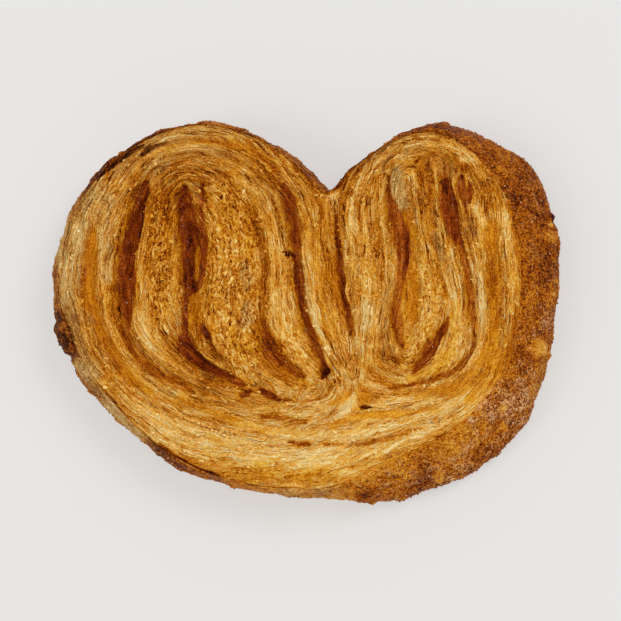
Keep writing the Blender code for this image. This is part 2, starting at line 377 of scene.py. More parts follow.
    def trace(self, seeds, step, count):
        """Lines along the layers, one from each seed: seeds, points on the line, x and y."""
        here, heading, path = seeds, None, [seeds]
        for _ in range(count - 1):
            way = unit(np.stack([self.read(self.run[:, axis], here) for axis in (0, 1)], axis=1),
                       1e-6)
            if heading is not None:
                way *= np.where((way * heading).sum(axis=1) < 0, -1.0, 1.0)[:, None]
            heading = way
            here = here + way * step[:, None]
            path.append(here)
        return np.stack(path, axis=1)


# ------------------------------------------------------------------ how the dough has baked
# Strokes along the layers: how strong, and guide points x, y and half width, in mm.
CARAMEL = (                                     # boiled sugar, dark and glossy, in the seams
    (1, ((-38.9, 31, 0.6), (-39.7, 28.5, 1.5), (-40.5, 25, 1.7), (-41.6, 20, 2), (-42.8, 15, 2.1),
         (-43.3, 10, 2.4), (-43.3, 5, 2.3), (-43.2, 0, 1.6), (-43, -3.4, 0.8))),
    (0.6, ((-43.8, -4, 0.8), (-42.6, -7.4, 1.1), (-40.6, -10.6, 1.2), (-37.6, -13.4, 1.2),
           (-34.2, -15.4, 0.9), (-30.6, -17, 0.7), (-27, -19.2, 0.5))),
    (1, ((-29.4, 29.8, 0.8), (-29.5, 27.5, 1.8), (-29.3, 25, 2.2), (-28.6, 21.5, 2.6),
         (-28.2, 17, 2.1), (-28.7, 12, 1.5), (-28.5, 8.5, 1.6), (-27.8, 6.2, 2.2),
         (-29, 4.2, 0.6))),
    (0.8, ((-24.7, 30.2, 0.5), (-24.9, 27, 0.6), (-25.2, 23, 0.6), (-24.6, 19, 1), (-24.4, 14, 0.9),
           (-24.9, 9, 0.8), (-25.6, 6.2, 0.8))),
    (0.9, ((-29.3, 4, 0.5), (-29.3, 0, 0.6), (-29.2, -4, 0.7), (-29, -7, 1))),
    (1, ((-29.6, -6.6, 1.2), (-28, -9.4, 1.4), (-25.4, -11.9, 1.3), (-22.4, -13.6, 1.2),
         (-19.4, -14.8, 1), (-17, -16.2, 0.8), (-15.4, -17.4, 0.5))),
    (1, ((-25, -3.4, 0.7), (-23.9, -4.9, 1.2), (-23.2, -6.2, 0.6))),
    (1, ((-15.4, -19.9, 0.6), (-14.4, -19.2, 1), (-13.6, -18.6, 0.5))),
    (1, ((-11.2, -18.2, 0.5), (-9.6, -19.2, 0.9), (-8, -20.2, 0.8), (-6.6, -20.6, 0.4))),
    (0.6, ((-6, -20.6, 0.3), (-1, -20.9, 0.3), (4, -20, 0.3), (6, -17.6, 0.4))),
    (0.9, ((-5.6, 29.8, 0.8), (-4.6, 27, 1.9), (-3.4, 22, 1.7), (-2.8, 18, 1.4), (-2.5, 13, 0.9),
           (-2, 8, 1.3), (-1.8, 5, 0.9), (-1, 0, 1), (0.8, -5, 1), (2.2, -8.2, 1.1),
           (3.4, -11, 0.7), (4.2, -14, 1.1))),
    (0.8, ((6.6, 26, 0.4), (6.9, 20, 0.6), (7.5, 14, 0.8), (8.1, 8, 0.9), (9, 2, 0.9),
           (9.9, -2, 0.9), (10.2, -5, 0.5))),
    (0.8, ((19, 32, 0.4), (19.2, 28, 0.5), (20.4, 23.6, 1.4), (21.2, 20.6, 1.9), (22.2, 17, 2.2),
           (22.6, 13, 1.9), (22, 9.5, 1.3))),
    (0.7, ((21.8, 9, 1.2), (21.4, 4, 1.2), (21, -1, 1.3), (21.6, -5.6, 1), (22.6, -8.4, 0.5))),
    (0.7, ((26.2, 28.6, 0.3), (26.5, 25.6, 0.3), (27, 23, 0.2))),
    (0.85, ((32.4, 30.4, 1.1), (33.2, 26, 2.1), (33.8, 22, 2.1), (34.8, 18.5, 1.3),
            (35.8, 16.4, 0.9))),
    (1, ((38.2, 29.8, 0.5), (38.4, 28, 0.7), (38.2, 25.6, 0.4))),
    (0.8, ((36.4, 31.4, 0.8), (36.4, 28, 1.2), (37, 25, 0.5), (37.4, 23.2, 0.3))),
    (0.65, ((36, 16.8, 0.6), (36.6, 13.5, 0.8), (37.4, 9, 0.8), (38, 4, 0.9), (38.5, -0.5, 0.7),
            (38.9, -4.5, 0.5), (38.4, -8.4, 0.5), (36.2, -11.8, 0.6), (33, -14.2, 0.7),
            (29, -15.8, 0.6), (25, -16.8, 0.5), (19, -17.6, 0.3))),
    (0.9, ((32.8, -1.4, 0.3), (32, -3.4, 0.9), (30.4, -6, 1.2), (28.9, -8.4, 1.3),
           (27.5, -10.8, 1.3), (25.8, -12.8, 0.9), (24.6, -14.2, 0.3))),
    (0.8, ((-4.4, -30.6, 0.3), (-1.5, -30.9, 0.7), (0.6, -31, 0.3))),
    (0.4, ((4, -31, 0.3), (10, -31.1, 0.4), (14, -30.8, 0.5), (18, -29.6, 0.5), (22, -28, 0.4),
           (27, -26.8, 0.3))),
    (0.6, ((-11, -24.6, 0.4), (-6, -25, 0.6), (-0.6, -25.8, 0.4))),
    (0.7, ((30, -29.2, 0.3), (35, -27.2, 0.5), (38.4, -25, 0.5), (41.4, -22, 0.4))),
    (0.7, ((46.4, 33, 0.3), (48.4, 28.6, 0.4), (49.6, 23, 0.4), (49.4, 19, 0.4), (50.6, 14, 0.3))),
    (0.75, ((-10.4, -2.4, 0.7), (-9.6, -6, 1.3), (-8.6, -9.2, 2), (-6.4, -11.6, 1.3))),
    (0.65, ((-5, -12.4, 0.6), (-2.8, -13.8, 1.3), (-0.8, -15.2, 0.7))),
)
BROWNED = (                                     # drier brown patches between the seams
    (0.6, ((-36, -10, 1), (-30, -14.6, 2), (-24, -17.4, 2.2), (-17, -21, 1.7), (-8, -22.4, 1.2))),
    (0.9, ((-26.6, 17, 0.9), (-26.3, 11, 1), (-26.4, 8, 0.7))),
    (0.9, ((-57.8, 1, 0.8), (-57.2, -3, 1.8), (-55.6, -6.6, 2), (-53.6, -9.4, 1))),
    (0.8, ((-33.4, 29, 0.9), (-33.6, 22, 1), (-32.6, 14, 0.8))),
    (0.7, ((-14, 25, 0.5), (-11.8, 20, 0.8), (-10.3, 14, 0.8), (-9.9, 8, 0.9), (-10.2, 3, 1),
           (-11, 0, 1.1))),
    (0.9, ((-10.6, -3, 1.4), (-9.4, -7, 2.2), (-8, -11, 2.6), (-5, -14.4, 2.4),
           (-1.4, -16.4, 1.3))),
    (0.6, ((-30, 37, 0.7), (-20, 37.4, 0.9), (-12, 34.6, 1), (-7, 29.6, 1.2))),
    (0.6, ((-2.2, 35, 1), (1.6, 29, 1.2), (4.6, 23, 1), (6.2, 17, 0.8))),
    (0.7, ((5.4, 12, 1.4), (6.6, 6, 1.9), (7.2, 0, 1.5), (7.8, -7, 0.8))),
    (0.6, ((22, 6, 2), (21.8, -2, 1.8), (22.4, -8, 1.4))),
    (0.7, ((24, 34, 1.4), (28.5, 35.6, 1.5), (33, 34.6, 1.6), (37, 34, 1.2))),
    (0.9, ((28.2, 35, 1.2), (28, 29, 1.5), (28.4, 22, 1.3), (30, 16, 0.7))),
    (0.9, ((32.8, 36, 0.8), (32.6, 32, 1.1))),
    (0.8, ((32.6, 3, 0.4), (32, 7, 0.5), (30.8, 11, 0.5), (30.4, 15, 0.4))),
    (0.6, ((12, 27, 0.6), (13, 20, 0.7), (13.2, 12, 0.5))),
    (0.7, ((16.6, 31, 0.8), (16.8, 25, 0.6), (17.2, 18, 0.6), (17.6, 8, 0.6))),
    (0.6, ((14, -12.6, 0.6), (18, -16.2, 0.8), (24, -19, 0.9), (32, -17.6, 0.9), (38, -13, 0.8),
           (41.4, -6, 0.7))),
    (0.7, ((-46.5, -12.4, 0.7), (-40, -17.4, 0.8), (-30, -22.6, 0.6))),
    (0.6, ((-40, -24, 0.5), (-30, -28.4, 0.6), (-20, -31, 0.5))),
    (0.8, ((-30, -34.6, 1), (-20, -37.4, 1.3), (-10, -38.8, 1.4), (0, -39.6, 1.2))),
    (0.6, ((4, -38, 2), (14, -36.2, 2), (24, -32, 1.6), (34, -27, 1.2))),
    (0.8, ((43.4, -17, 1), (47.6, -9, 1.4), (49, 0, 1))),
    (0.7, ((47.6, 25, 0.8), (49.6, 15, 0.9), (50, 4, 0.8))),
)
AMBER = (                                       # thin caramel over pale dough, clear orange
    (1, ((-51.4, 19, 0.8), (-52, 15, 1.7), (-52.4, 10, 1.9), (-52.4, 4, 1.6), (-51, 0, 1))),
    (0.9, ((-50.4, -1, 0.8), (-49.4, -4.4, 1), (-47.4, -8, 1.4), (-44.6, -12, 1.3),
           (-40.6, -16, 1.2), (-37, -18.6, 0.7))),
    (0.8, ((-27, 3, 1.6), (-26.4, -2, 1.8), (-26.8, -7, 1.4))),
    (0.7, ((-56.4, 30, 0.8), (-57.4, 24, 1), (-58, 18, 0.7))),
    (0.7, ((-36, 38, 1), (-26, 41, 1.2), (-16, 39.4, 1), (-8, 35, 0.9))),
    (0.8, ((23.6, 22, 1.4), (24.6, 14, 1.3), (25.2, 6, 1.3), (24.6, -1, 1.2))),
    (0.9, ((43, 20, 1.2), (43.6, 12, 1.5), (43.8, 3, 1.6), (43.4, -6, 1.4), (41, -12, 1.2))),
    (0.8, ((34.4, 2, 0.8), (34.4, -6, 0.9), (31.4, -12.6, 0.9), (24, -15.4, 0.7))),
    (0.9, ((6, -27, 0.6), (10, -25.2, 1), (15, -24.2, 0.8), (22, -23.8, 0.7), (30, -22.6, 0.4))),
    (0.8, ((13, -18, 0.9), (14.4, -20.2, 1.1))),
    (0.8, ((26, -20, 0.9), (31, -18.4, 1.4), (36, -17, 1.5), (40, -14.6, 1.2))),
    (0.8, ((6, -21.6, 0.5), (8.6, -20.4, 0.9), (9.8, -18.6, 0.5))),
    (0.6, ((-30, -20.6, 0.9), (-20, -24.4, 1), (-10, -27.4, 0.9), (2, -28.8, 0.8))),
    (0.7, ((38, -20.4, 1), (42, -15.6, 1.4), (45.4, -9, 1.3))),
    (0.6, ((-14.6, 21, 0.7), (-13.2, 12, 0.8), (-13, 4, 0.8))),
    (0.5, ((0.6, 22, 0.8), (2.4, 14, 1), (4, 4, 1), (5.2, -6, 0.9))),
    (0.7, ((-10.2, -36.4, 0.9), (-8.4, -37.6, 1.3), (-6.2, -37, 0.8))),
    (0.6, ((-4.4, -37.6, 0.7), (0, -38.4, 1.2), (3.6, -37.6, 0.9))),
)
PALE = (                                        # dough that stayed light, pulled in thin sheets
    (1, ((-38.8, 8, 0.9), (-39.2, 1, 1.6), (-38.4, -5, 1.9), (-35.4, -10, 1.8), (-31.2, -13.6, 1.2),
         (-27, -16.2, 0.9))),
    (0.9, ((-8.6, 25, 0.9), (-7.4, 15, 1.3), (-6.6, 6, 1.7), (-5.6, -2, 2), (-2.6, -9, 1.9),
           (1, -14.4, 1.3))),
    (0.7, ((0, 18, 0.9), (0.8, 8, 1), (2, -2, 1), (4.6, -10, 0.9))),
    (0.9, ((-44, -19.6, 1.1), (-36, -25.6, 1.4), (-24, -30.6, 1.7), (-10, -33.8, 1.9), (4, -34, 2),
           (14, -32.6, 1.6), (26, -29.6, 1.4), (36, -25, 1.2), (43, -18.4, 1.1))),
    (0.8, ((-8, -28.4, 1), (2, -29.4, 1.2), (14, -28.4, 1.2), (26, -25, 1.2), (36, -20.8, 1))),
    (0.7, ((-46, -23.6, 1.2), (-36, -30.4, 1.3), (-24, -34.6, 1.1))),
    (0.7, ((-12, -23, 0.9), (-4, -24, 1), (1, -23.8, 0.8))),
    (1, ((6.6, -25, 0.5), (8, -24, 0.9), (9.8, -22.2, 1.1), (11, -20.2, 0.7), (11.2, -18.8, 0.2))),
    (0.9, ((20.2, 13.6, 0.2), (20.8, 12, 0.5), (21.2, 10.6, 0.2))),
    (0.9, ((35, 28.6, 0.2), (35.8, 26, 0.3), (37, 23.4, 0.3))),
    (0.9, ((39, 24.6, 0.5), (40.4, 23.4, 1), (41.4, 21, 0.8), (40.8, 17, 0.6))),
    (0.9, ((13.4, 24, 0.7), (14, 15, 1), (14.2, 6, 1.2), (13.6, -2, 1.2), (12.6, -7, 1))),
    (0.9, ((17.6, 31, 0.5), (17.8, 24, 0.5), (18, 16, 0.6), (17.6, 7, 0.8), (15.8, -1, 0.9),
           (16, -8, 0.8))),
    (0.9, ((28.4, 32, 0.5), (28, 25, 0.6), (28.8, 17, 0.8), (31.4, 11, 0.8), (34.4, 4, 0.7),
           (35.4, -4, 0.9), (33, -11, 0.9), (27, -14.8, 0.8))),
    (0.7, ((27.6, 12, 1.1), (28.8, 4, 1.3), (27.6, -4, 1.4), (24.6, -9.6, 1))),
    (0.8, ((36.8, 20.6, 0.8), (39.4, 18, 1.1), (40.6, 11, 0.9), (41.2, 3, 0.8), (40.8, -6, 0.8),
           (37.4, -13.4, 0.8), (30, -19, 0.8), (20, -20.4, 0.9))),
    (0.9, ((45.8, 24, 0.7), (47.4, 16, 1), (48, 8, 0.9), (47.4, 0, 0.6))),
    (0.6, ((12, 32, 0.5), (18, 36.6, 0.7), (24, 39, 0.6), (30, 39.4, 0.5))),
    (0.9, ((33, 39.4, 0.7), (38.6, 37.4, 0.9), (43.6, 33.6, 0.9), (46.6, 29, 0.9),
           (48.2, 24.6, 0.7))),
    (0.8, ((10.4, 26, 0.9), (10.2, 18, 0.9), (10.6, 10, 0.6))),
    (0.7, ((7, 25, 0.6), (8.4, 18, 0.7))),
    (0.7, ((-44, 31, 1), (-38, 36.4, 1.2), (-30, 39, 1.1), (-20, 38.8, 0.9))),
    (0.6, ((-49, 24, 1.3), (-48.6, 14, 1.4), (-48, 4, 1.2), (-45.6, -6, 1), (-40, -12.6, 0.8))),
    (0.7, ((-55.8, 20, 1.4), (-56, 10, 1.5), (-55.6, 0, 1.6), (-53, -9, 1.5), (-47.6, -18, 1.2))),
    (0.5, ((-31.8, 27, 0.7), (-31.6, 18, 0.7), (-31.4, 8, 0.8), (-32.2, 0, 0.7))),
)
# Along the left rim, where the outer sheets turn down, the grey dulling is painted shade; elsewhere
# it is the dough's own grey.
GREYED = (                                      # dry outer sheets, pale but dull
    (0.9, ((-51, 31, 2.4), (-54.6, 24, 2.6), (-56.6, 14, 2.4), (-57.2, 4, 2.2), (-55.6, -6, 2),
           (-51, -14.6, 1.6))),
    (0.6, ((-47.6, 26, 1.4), (-48.4, 16, 1.5), (-48, 8, 1.2))),
    (1, ((21.6, 32.6, 1.2), (21.8, 29.4, 1.6), (22.4, 25.4, 1.2))),
    (0.8, ((-14.4, 11, 0.9), (-14.2, 8, 1.2), (-14, 5.4, 0.8))),
    (0.8, ((-13.8, 2, 0.8), (-14, -0.4, 1.2), (-14.6, -3, 0.9))),
    (0.6, ((-1, 12, 0.8), (-0.4, 6, 0.9), (0.6, 0, 0.7))),
    (0.6, ((38.4, 21, 1.1), (39, 18, 0.9))),
    (0.6, ((30.4, 18, 0.8), (32, 12, 0.7))),
    (0.6, ((14, 2, 0.9), (13.4, -4, 0.9))),
    (0.5, ((-46, 34.6, 1.6), (-39, 39.6, 2.2), (-30, 42.4, 2), (-20, 43, 1.6))),
    (0.4, ((-38, 34.6, 1.6), (-30, 37.6, 1.6), (-20, 38, 1.4))),
    (0.35, ((14, 34, 1), (22, 39.6, 1.4), (31, 41.6, 1.4))),
    (0.35, ((29.6, 34.6, 1.6), (33.4, 33.4, 1.4))),
)
# Nearly black: burnt spots, and also painted shade in small holes, slots and a pocket and under a
# pale flap.
BURNT_AND_SHADE = (                                       # nearly black
    (1, ((-50.8, 31.8, 0.3), (-47.6, 34.8, 0.8), (-44.6, 37, 0.9), (-42, 38.7, 0.8),
         (-39.6, 39.8, 0.5))),
    (1, ((-39.2, 37.6, 0.6), (-38.2, 38.8, 1), (-36.4, 39.6, 0.6), (-33.6, 40.3, 0.3))),
    (0.8, ((-38.3, 30.2, 0.3), (-38.8, 28.4, 0.6), (-39, 26, 0.5), (-39.7, 21, 0.4),
           (-40.6, 15, 0.3))),
    (1, ((3.8, -15.2, 0.7), (4.6, -13.8, 0.9))),
    # painted shadow under the pale flap beside it
    (0.9, ((12.8, -22.4, 0.3), (13.8, -22.3, 0.6), (15.4, -22.4, 0.2))),
    (0.9, ((-5.4, 13.9, 0.3), (-4.4, 13.7, 0.8), (-3.4, 13.4, 0.3))),
    (0.8, ((-58, -5, 0.7), (-57, -8.4, 0.9), (-55.6, -10.4, 0.6))),
    # painted shade in a small hole
    (0.8, ((-14.8, 32.5, 0.3), (-14, 31.6, 0.3))),
    (0.8, ((25.5, 34.8, 0.2), (26, 35.2, 0.3), (26.7, 36, 0.2))),
    # painted shade at the top of a pocket
    (0.7, ((24, 33.9, 0.2), (25.6, 33.8, 0.3))),
    # painted shade in an oval slot
    (0.8, ((9.9, 15.4, 0.2), (9.9, 13.4, 0.3))),
    (0.8, ((13.8, 15.4, 0.2), (13.6, 13, 0.3))),
    (0.8, ((30.4, 23.3, 0.3), (30.9, 22.1, 0.3))),
    (0.7, ((-36.6, 36.8, 0.3), (-38.4, 35.6, 0.5), (-39.6, 34.4, 0.2))),
    (0.6, ((38.6, 38, 0.3), (40, 37, 0.3))),
    (0.8, ((-35, -31.4, 0.6), (-32, -34, 0.8), (-27.4, -36.4, 0.5), (-21, -38.6, 0.4))),
    (0.45, ((-28.4, -5.6, 0.6), (-25.4, -10.8, 0.9), (-21.6, -13.6, 0.8), (-17.8, -15.4, 0.4))),
    (0.45, ((-24.6, -3.8, 0.5), (-23.6, -6, 0.6))),
    (0.35, ((-28.6, 21, 0.7), (-28.2, 12, 0.7), (-27.8, 6.4, 1))),
)
SPONGE = (                                      # open, bubbly crumb
    (1, ((-34.6, 27, 2.4), (-34.8, 18, 2.9), (-34.6, 8, 2.9), (-35, 0, 2.4))),
    (1, ((-19, 28, 4), (-17.6, 18, 5.4), (-17.4, 8, 5.6), (-18.6, -2, 5.4), (-15.4, -10, 4.4))),
    (0.8, ((-4, -8, 3), (0, -16.4, 3))),
    (0.8, ((28.6, 10, 2.6), (29, 2, 2.8), (26, -6, 2.8), (22.6, -12, 2))),
    (0.7, ((14.4, 16, 1.8), (14.6, 4, 2))),
    (0.6, ((36, -2, 1.4), (31, -12.4, 2), (22, -16, 1.8))),
    (0.6, ((0, -18, 1.8), (-8, -23, 1.8))),
    (0.45, ((-17, -36.8, 1), (-8, -37.8, 1.8), (2, -38.6, 1.8), (9, -37.8, 1.6))),
)
# Single spots that turned out darker or lighter: change of tone, then the line they follow.
TOUCHES = (
    (-0.15, ((-43, 31.6, 0.9), (-40.2, 35.2, 1.4), (-38.2, 37, 0.7))),
    (-0.12, ((-34.4, 33.6, 1), (-29, 33, 1.1), (-24.4, 31.6, 1.5))),
    (-0.15, ((-37.6, 28, 0.8), (-37.2, 25.6, 1.4), (-36.9, 24, 0.6))),
    (-0.15, ((-31.4, 29, 0.7), (-31.1, 25, 0.9), (-30.4, 21, 0.6))),
    (-0.08, ((-31, 18, 0.6), (-29.8, 14, 0.7))),
    (-0.1, ((-22.6, 40.2, 1), (-19.2, 39.2, 1.3))),
    (-0.15, ((-12.4, 40, 1.3), (-10.4, 36, 1.8), (-6.8, 32.4, 1.5))),
    (-0.09, ((-57, 23, 0.9), (-58.4, 18.6, 1.2), (-58.8, 13, 0.8))),
    (-0.09, ((-55, 9, 0.9), (-55.4, 2, 1.5), (-54.4, -5, 1.5), (-51.6, -11, 1.5), (-47, -18, 1.3))),
    (-0.08, ((-48.8, 26, 0.8), (-49.4, 21.6, 0.9))),
    (-0.1, ((-48, 17, 1), (-48.4, 9, 1.1))),
    (-0.13, ((-46.6, 5, 1.2), (-46.4, 0, 1.5), (-45, -4.6, 1.3), (-43.4, -8.6, 1))),
    (-0.09, ((-48.2, -6.6, 1), (-47, -11, 1.2), (-44, -16, 1.2), (-41, -20, 1))),
    (-0.16, ((-33.4, -5.6, 0.9), (-31.4, -8.6, 1.2), (-29.2, -11.2, 1))),
    (-0.09, ((-34, -14.6, 0.8), (-29.4, -18.4, 1.1))),
    (-0.11, ((-26.4, 1, 0.7), (-25.6, -4, 0.9), (-22.8, -8.2, 1.3), (-19.4, -12.2, 1.3))),
    (-0.12, ((-23, -15.6, 1), (-19, -16.8, 1.1), (-15.6, -17.6, 0.8))),
    (-0.08, ((-24.5, 27.4, 0.6), (-23.8, 22.6, 0.7))),
    (-0.08, ((-8.6, 9.4, 0.8), (-6.6, 6.4, 1.1))),
    (-0.06, ((-7.6, -8, 1.3), (-3, -12, 1.5))),
    (-0.12, ((-50.4, -16.6, 0.8), (-47.8, -21, 1.1), (-43, -24.6, 0.9))),
    (-0.1, ((-28.4, -20, 1), (-24.6, -22.6, 1.2))),
    (-0.16, ((-33.4, -30.2, 0.6), (-29.2, -32.6, 0.8))),
    (-0.12, ((-21, -33.6, 0.8), (-19, -34.2, 0.8))),
    (-0.1, ((-7.4, -35.6, 0.7), (-4.6, -38.2, 0.8))),
    (-0.08, ((-23, -25.6, 0.6), (-11, -28.8, 0.8), (0, -30, 0.7), (10, -30.2, 0.5))),
    (-0.08, ((-3, -22.8, 0.7), (5, -23.4, 0.7))),
    (-0.07, ((5.6, -33, 0.7), (12.4, -33.2, 0.7))),
    (-0.18, ((6.8, 29.4, 0.9), (10.4, 32, 1.4), (14, 35, 1))),
    (-0.12, ((9.2, 28, 1.2), (8.6, 21, 1.2))),
    (-0.1, ((15, 35.6, 0.8), (20, 38.4, 0.9), (25, 40.6, 0.9))),
    (-0.18, ((25.6, 41, 0.8), (28.6, 41.2, 1), (31, 40.6, 0.8))),
    (-0.14, ((28.3, 34, 0.7), (28.6, 30, 1), (28, 24, 0.8))),
    (-0.2, ((37.6, 33.4, 1.2), (40.6, 32.6, 1.9), (42.6, 29.4, 1.9), (43.8, 25, 1.4))),
    (-0.16, ((41.6, 23.4, 0.9), (38.2, 20.8, 0.9), (39.6, 18.4, 1))),
    (-0.11, ((29, 17.2, 0.8), (30.8, 14.8, 0.8))),
    (-0.11, ((34, 16.6, 0.6), (35.6, 13.8, 0.7))),
    (-0.11, ((18.6, 20, 0.9), (17.4, 14, 1.1), (17.2, 8, 0.9), (16.2, 2, 0.8))),
    (-0.09, ((42.6, 15, 1), (42.8, 8, 1.1), (45, 3.6, 1.2), (49, 5.4, 1.1))),
    (-0.09, ((17, -8.6, 0.9), (20, -11, 1.1), (24.4, -10.4, 1.1), (27.4, -6.4, 0.9))),
    (-0.12, ((4.6, -13.6, 1.2), (7.2, -16.2, 1.5))),
    (-0.1, ((12, -12, 0.8), (12.6, -16.6, 1), (16, -19.6, 0.8))),
    (-0.08, ((46, -5.6, 0.8), (43.8, -11.2, 0.9), (40.2, -15.6, 0.9), (35, -18.2, 0.8),
             (27, -19.2, 0.7))),
    (-0.06, ((36.9, 2.6, 0.6), (37.4, -2.6, 0.7))),
    (-0.08, ((3.2, 18.6, 1), (4.4, 15, 1.2))),
    (-0.08, ((19, -33.6, 0.7), (24, -32.4, 0.8), (28.4, -30.2, 0.7))),
    (0.08, ((-53.4, 23, 0.7), (-55, 16, 0.9))),
    (0.05, ((-45.2, 23, 0.8), (-45.6, 16.6, 0.7))),
    (0.09, ((-33.2, 18.6, 1), (-33, 16, 1.1))),
    (0.12, ((-33.2, 4, 0.8), (-33, -1, 1.3), (-32.8, -3.6, 0.8))),
    (0.08, ((-20.6, 23, 1.2), (-17.6, 16, 2.2), (-19, 7, 1.6))),
    (0.13, ((-14.2, 19, 0.9), (-12.8, 14, 1.4), (-12.6, 10, 1))),
    (0.08, ((-15, 27.4, 1.2), (-11.6, 28.2, 1.2))),
    (0.12, ((-19.6, 3, 1.3), (-17.6, 1, 1.6))),
    (0.08, ((-44.6, -9.4, 0.7), (-40.6, -15.8, 0.9), (-35, -19.2, 0.8))),
    (0.1, ((-21.4, -6.6, 0.8), (-16.6, -10.8, 1.2), (-13, -14, 1))),
    (0.1, ((-55.8, -3.6, 0.6), (-54.4, -9.4, 0.7))),
    (0.06, ((-4.6, 4, 0.7), (-3.4, 0, 0.9), (-3.6, -6, 0.8))),
    (0.07, ((-30.4, 36, 0.8), (-25, 37.2, 1), (-19.6, 36.8, 1), (-17, 33.6, 0.8))),
    (0.08, ((-15.4, -24.8, 0.8), (-11.6, -26.6, 0.8))),
    (0.1, ((5.6, 26.6, 0.7), (5.2, 19.6, 0.8))),
    (0.13, ((10.6, 21.6, 0.8), (11.9, 16, 1.2), (12.4, 12.4, 0.9))),
    (0.09, ((13.6, 30.4, 0.8), (12, 26.6, 0.7))),
    (0.11, ((16.9, 33.2, 0.6), (16.2, 27, 0.7), (16.9, 20.6, 0.6))),
    (0.11, ((20.2, 29, 0.6), (21.4, 21.6, 0.8))),
    (0.12, ((23.4, 35.2, 1), (24.8, 34.4, 1))),
    (0.13, ((25.4, 20.6, 0.8), (26.9, 14, 0.9), (26.8, 8.6, 0.8))),
    (0.12, ((21, 11, 0.9), (21.4, 5, 1.2), (22.2, 0.6, 1.2), (22.8, -6, 1.3))),
    (0.09, ((8.3, 13, 0.8), (8.4, 7, 0.9), (9.6, 1, 0.8), (11.2, -4, 0.9), (12.8, -9.6, 0.9))),
    (0.1, ((6.2, 0, 0.7), (8.4, -6.4, 0.9))),
    (0.1, ((2.4, -8, 0.7), (4.6, -12.2, 0.7))),
    (0.12, ((34, 2.6, 0.9), (33.6, -1.6, 1.2), (32, -6, 0.9), (30.6, -10.4, 0.8))),
    (0.1, ((29, -13, 0.8), (25, -15, 0.8), (20, -16.8, 0.8))),
    (0.12, ((38.2, 14, 0.8), (39.4, 9, 0.9), (40, 2, 0.9), (40.6, -2, 0.7))),
    (0.12, ((43, -16, 1), (44.4, -15.6, 0.9))),
    (0.07, ((38.6, -9.4, 1), (37.2, -11.6, 0.9))),
    (0.08, ((9.6, -24.8, 0.6), (20, -26, 0.7))),
    (0.1, ((16.6, -29.8, 0.6), (24.6, -28, 0.7), (29.6, -26.6, 0.5))),
    (0.14, ((8.6, -37.6, 1), (12.6, -38.4, 1.2), (16, -38.4, 0.8))),
    (0.16, ((6.8, -24.8, 0.4), (8.4, -23.4, 0.8), (10, -21.4, 0.7), (10.8, -19.4, 0.3))),
    (-0.07, ((-50, 13, 1), (-49.6, 8, 1.2), (-48, 6.6, 1))),
    (-0.1, ((-43.6, 33, 1), (-42, 30, 1.2), (-41, 27, 0.7))),
    (-0.1, ((-24.6, 33.4, 0.8), (-24, 30.6, 1.2))),
    (-0.09, ((-20.4, 33, 0.9), (-18, 29.6, 1.1), (-16.4, 26.8, 0.7))),
    (-0.13, ((-13.2, 20, 0.7), (-12.6, 18, 0.9))),
    (-0.07, ((-7, 25, 0.8), (-8.4, 20, 0.9))),
    (-0.07, ((-7.2, 12, 0.6), (-6.6, 6, 0.7))),
    (-0.12, ((-58.6, 21, 0.7), (-59, 17, 0.7))),
    (-0.08, ((-51, -10, 1), (-48.6, -15, 1))),
    (-0.1, ((-27.6, -13.6, 0.8), (-23.6, -14, 1), (-25, -20.6, 0.8))),
    (-0.09, ((-13.6, -17, 0.8), (-12.4, -19.6, 0.8))),
    (-0.07, ((-9.6, -5.6, 1.4), (-5, -9.6, 1.4), (-1.6, -4, 1))),
    (-0.1, ((-45, -19, 0.7), (-38, -22, 0.8))),
    (-0.07, ((1.6, 27, 1), (3, 20, 1.2))),
    (-0.16, ((7.8, 29.6, 0.7), (9.6, 31.4, 0.8))),
    (-0.12, ((8, 25, 1), (8.2, 18.6, 1.2))),
    (-0.1, ((14.2, 26.4, 0.7), (14.8, 23.6, 0.8))),
    (-0.08, ((23, 30.4, 0.9), (24.2, 26, 1.3), (28.2, 25.4, 0.8), (28.4, 21, 0.6))),
    (-0.1, ((13, -1, 0.8), (13.2, -5.6, 1.1), (16.6, -6, 0.9))),
    (-0.1, ((45, -3, 1.3), (46.4, 1.6, 1.4))),
    (-0.1, ((0.6, -13.6, 0.8), (-4, -14.2, 1.2), (-8, -12, 1.3), (-11.6, -9.6, 0.9))),
    (-0.1, ((7.6, -16.6, 1.1), (2, -18.4, 1.2))),
    (-0.1, ((-54, 10, 0.8), (-54.8, 4, 0.9), (-55.4, -2, 1), (-54.4, -6.4, 0.9))),
    (-0.1, ((-5.4, 36.4, 0.8), (-2.4, 31.6, 1.1), (0.6, 30, 0.8))),
    (0.1, ((20.8, 21, 0.8), (21.6, 14, 0.7), (21.2, 6, 0.9), (22.2, -5, 0.9))),
    (0.11, ((17.7, 20.6, 0.6), (17.4, 16, 0.6))),
    (0.15, ((-2, -17.2, 0.7), (-0.8, -16.4, 0.7))),
    (-0.07, ((18.4, 37, 1), (20.6, 33.6, 0.8))),
    (-0.1, ((29.8, 36.6, 0.7), (28.2, 31, 0.7))),
    (-0.14, ((35.4, 33.4, 0.8), (37.4, 29.6, 1.2), (39.6, 25.6, 1.4))),
    (-0.1, ((40.8, 28.4, 1.2), (42, 22.6, 0.9))),
    (-0.1, ((34, 40.6, 0.8), (38, 38.6, 0.8))),
    (-0.11, ((29.4, 15.6, 0.7), (31.6, 12, 0.9), (32.6, 8.6, 0.5))),
    (-0.14, ((38.8, 19.4, 0.8), (40, 16.4, 0.6))),
    (-0.08, ((42, 10, 1.2), (44.6, 4.6, 1.6), (48, 4, 1), (45, 0, 1))),
    (-0.07, ((24, 11, 0.7), (24, 7, 0.7))),
    (-0.08, ((11.8, -3.6, 0.8), (11.6, -5.6, 0.7))),
    (-0.07, ((16.6, -8, 0.7), (17.6, -12.6, 0.8))),
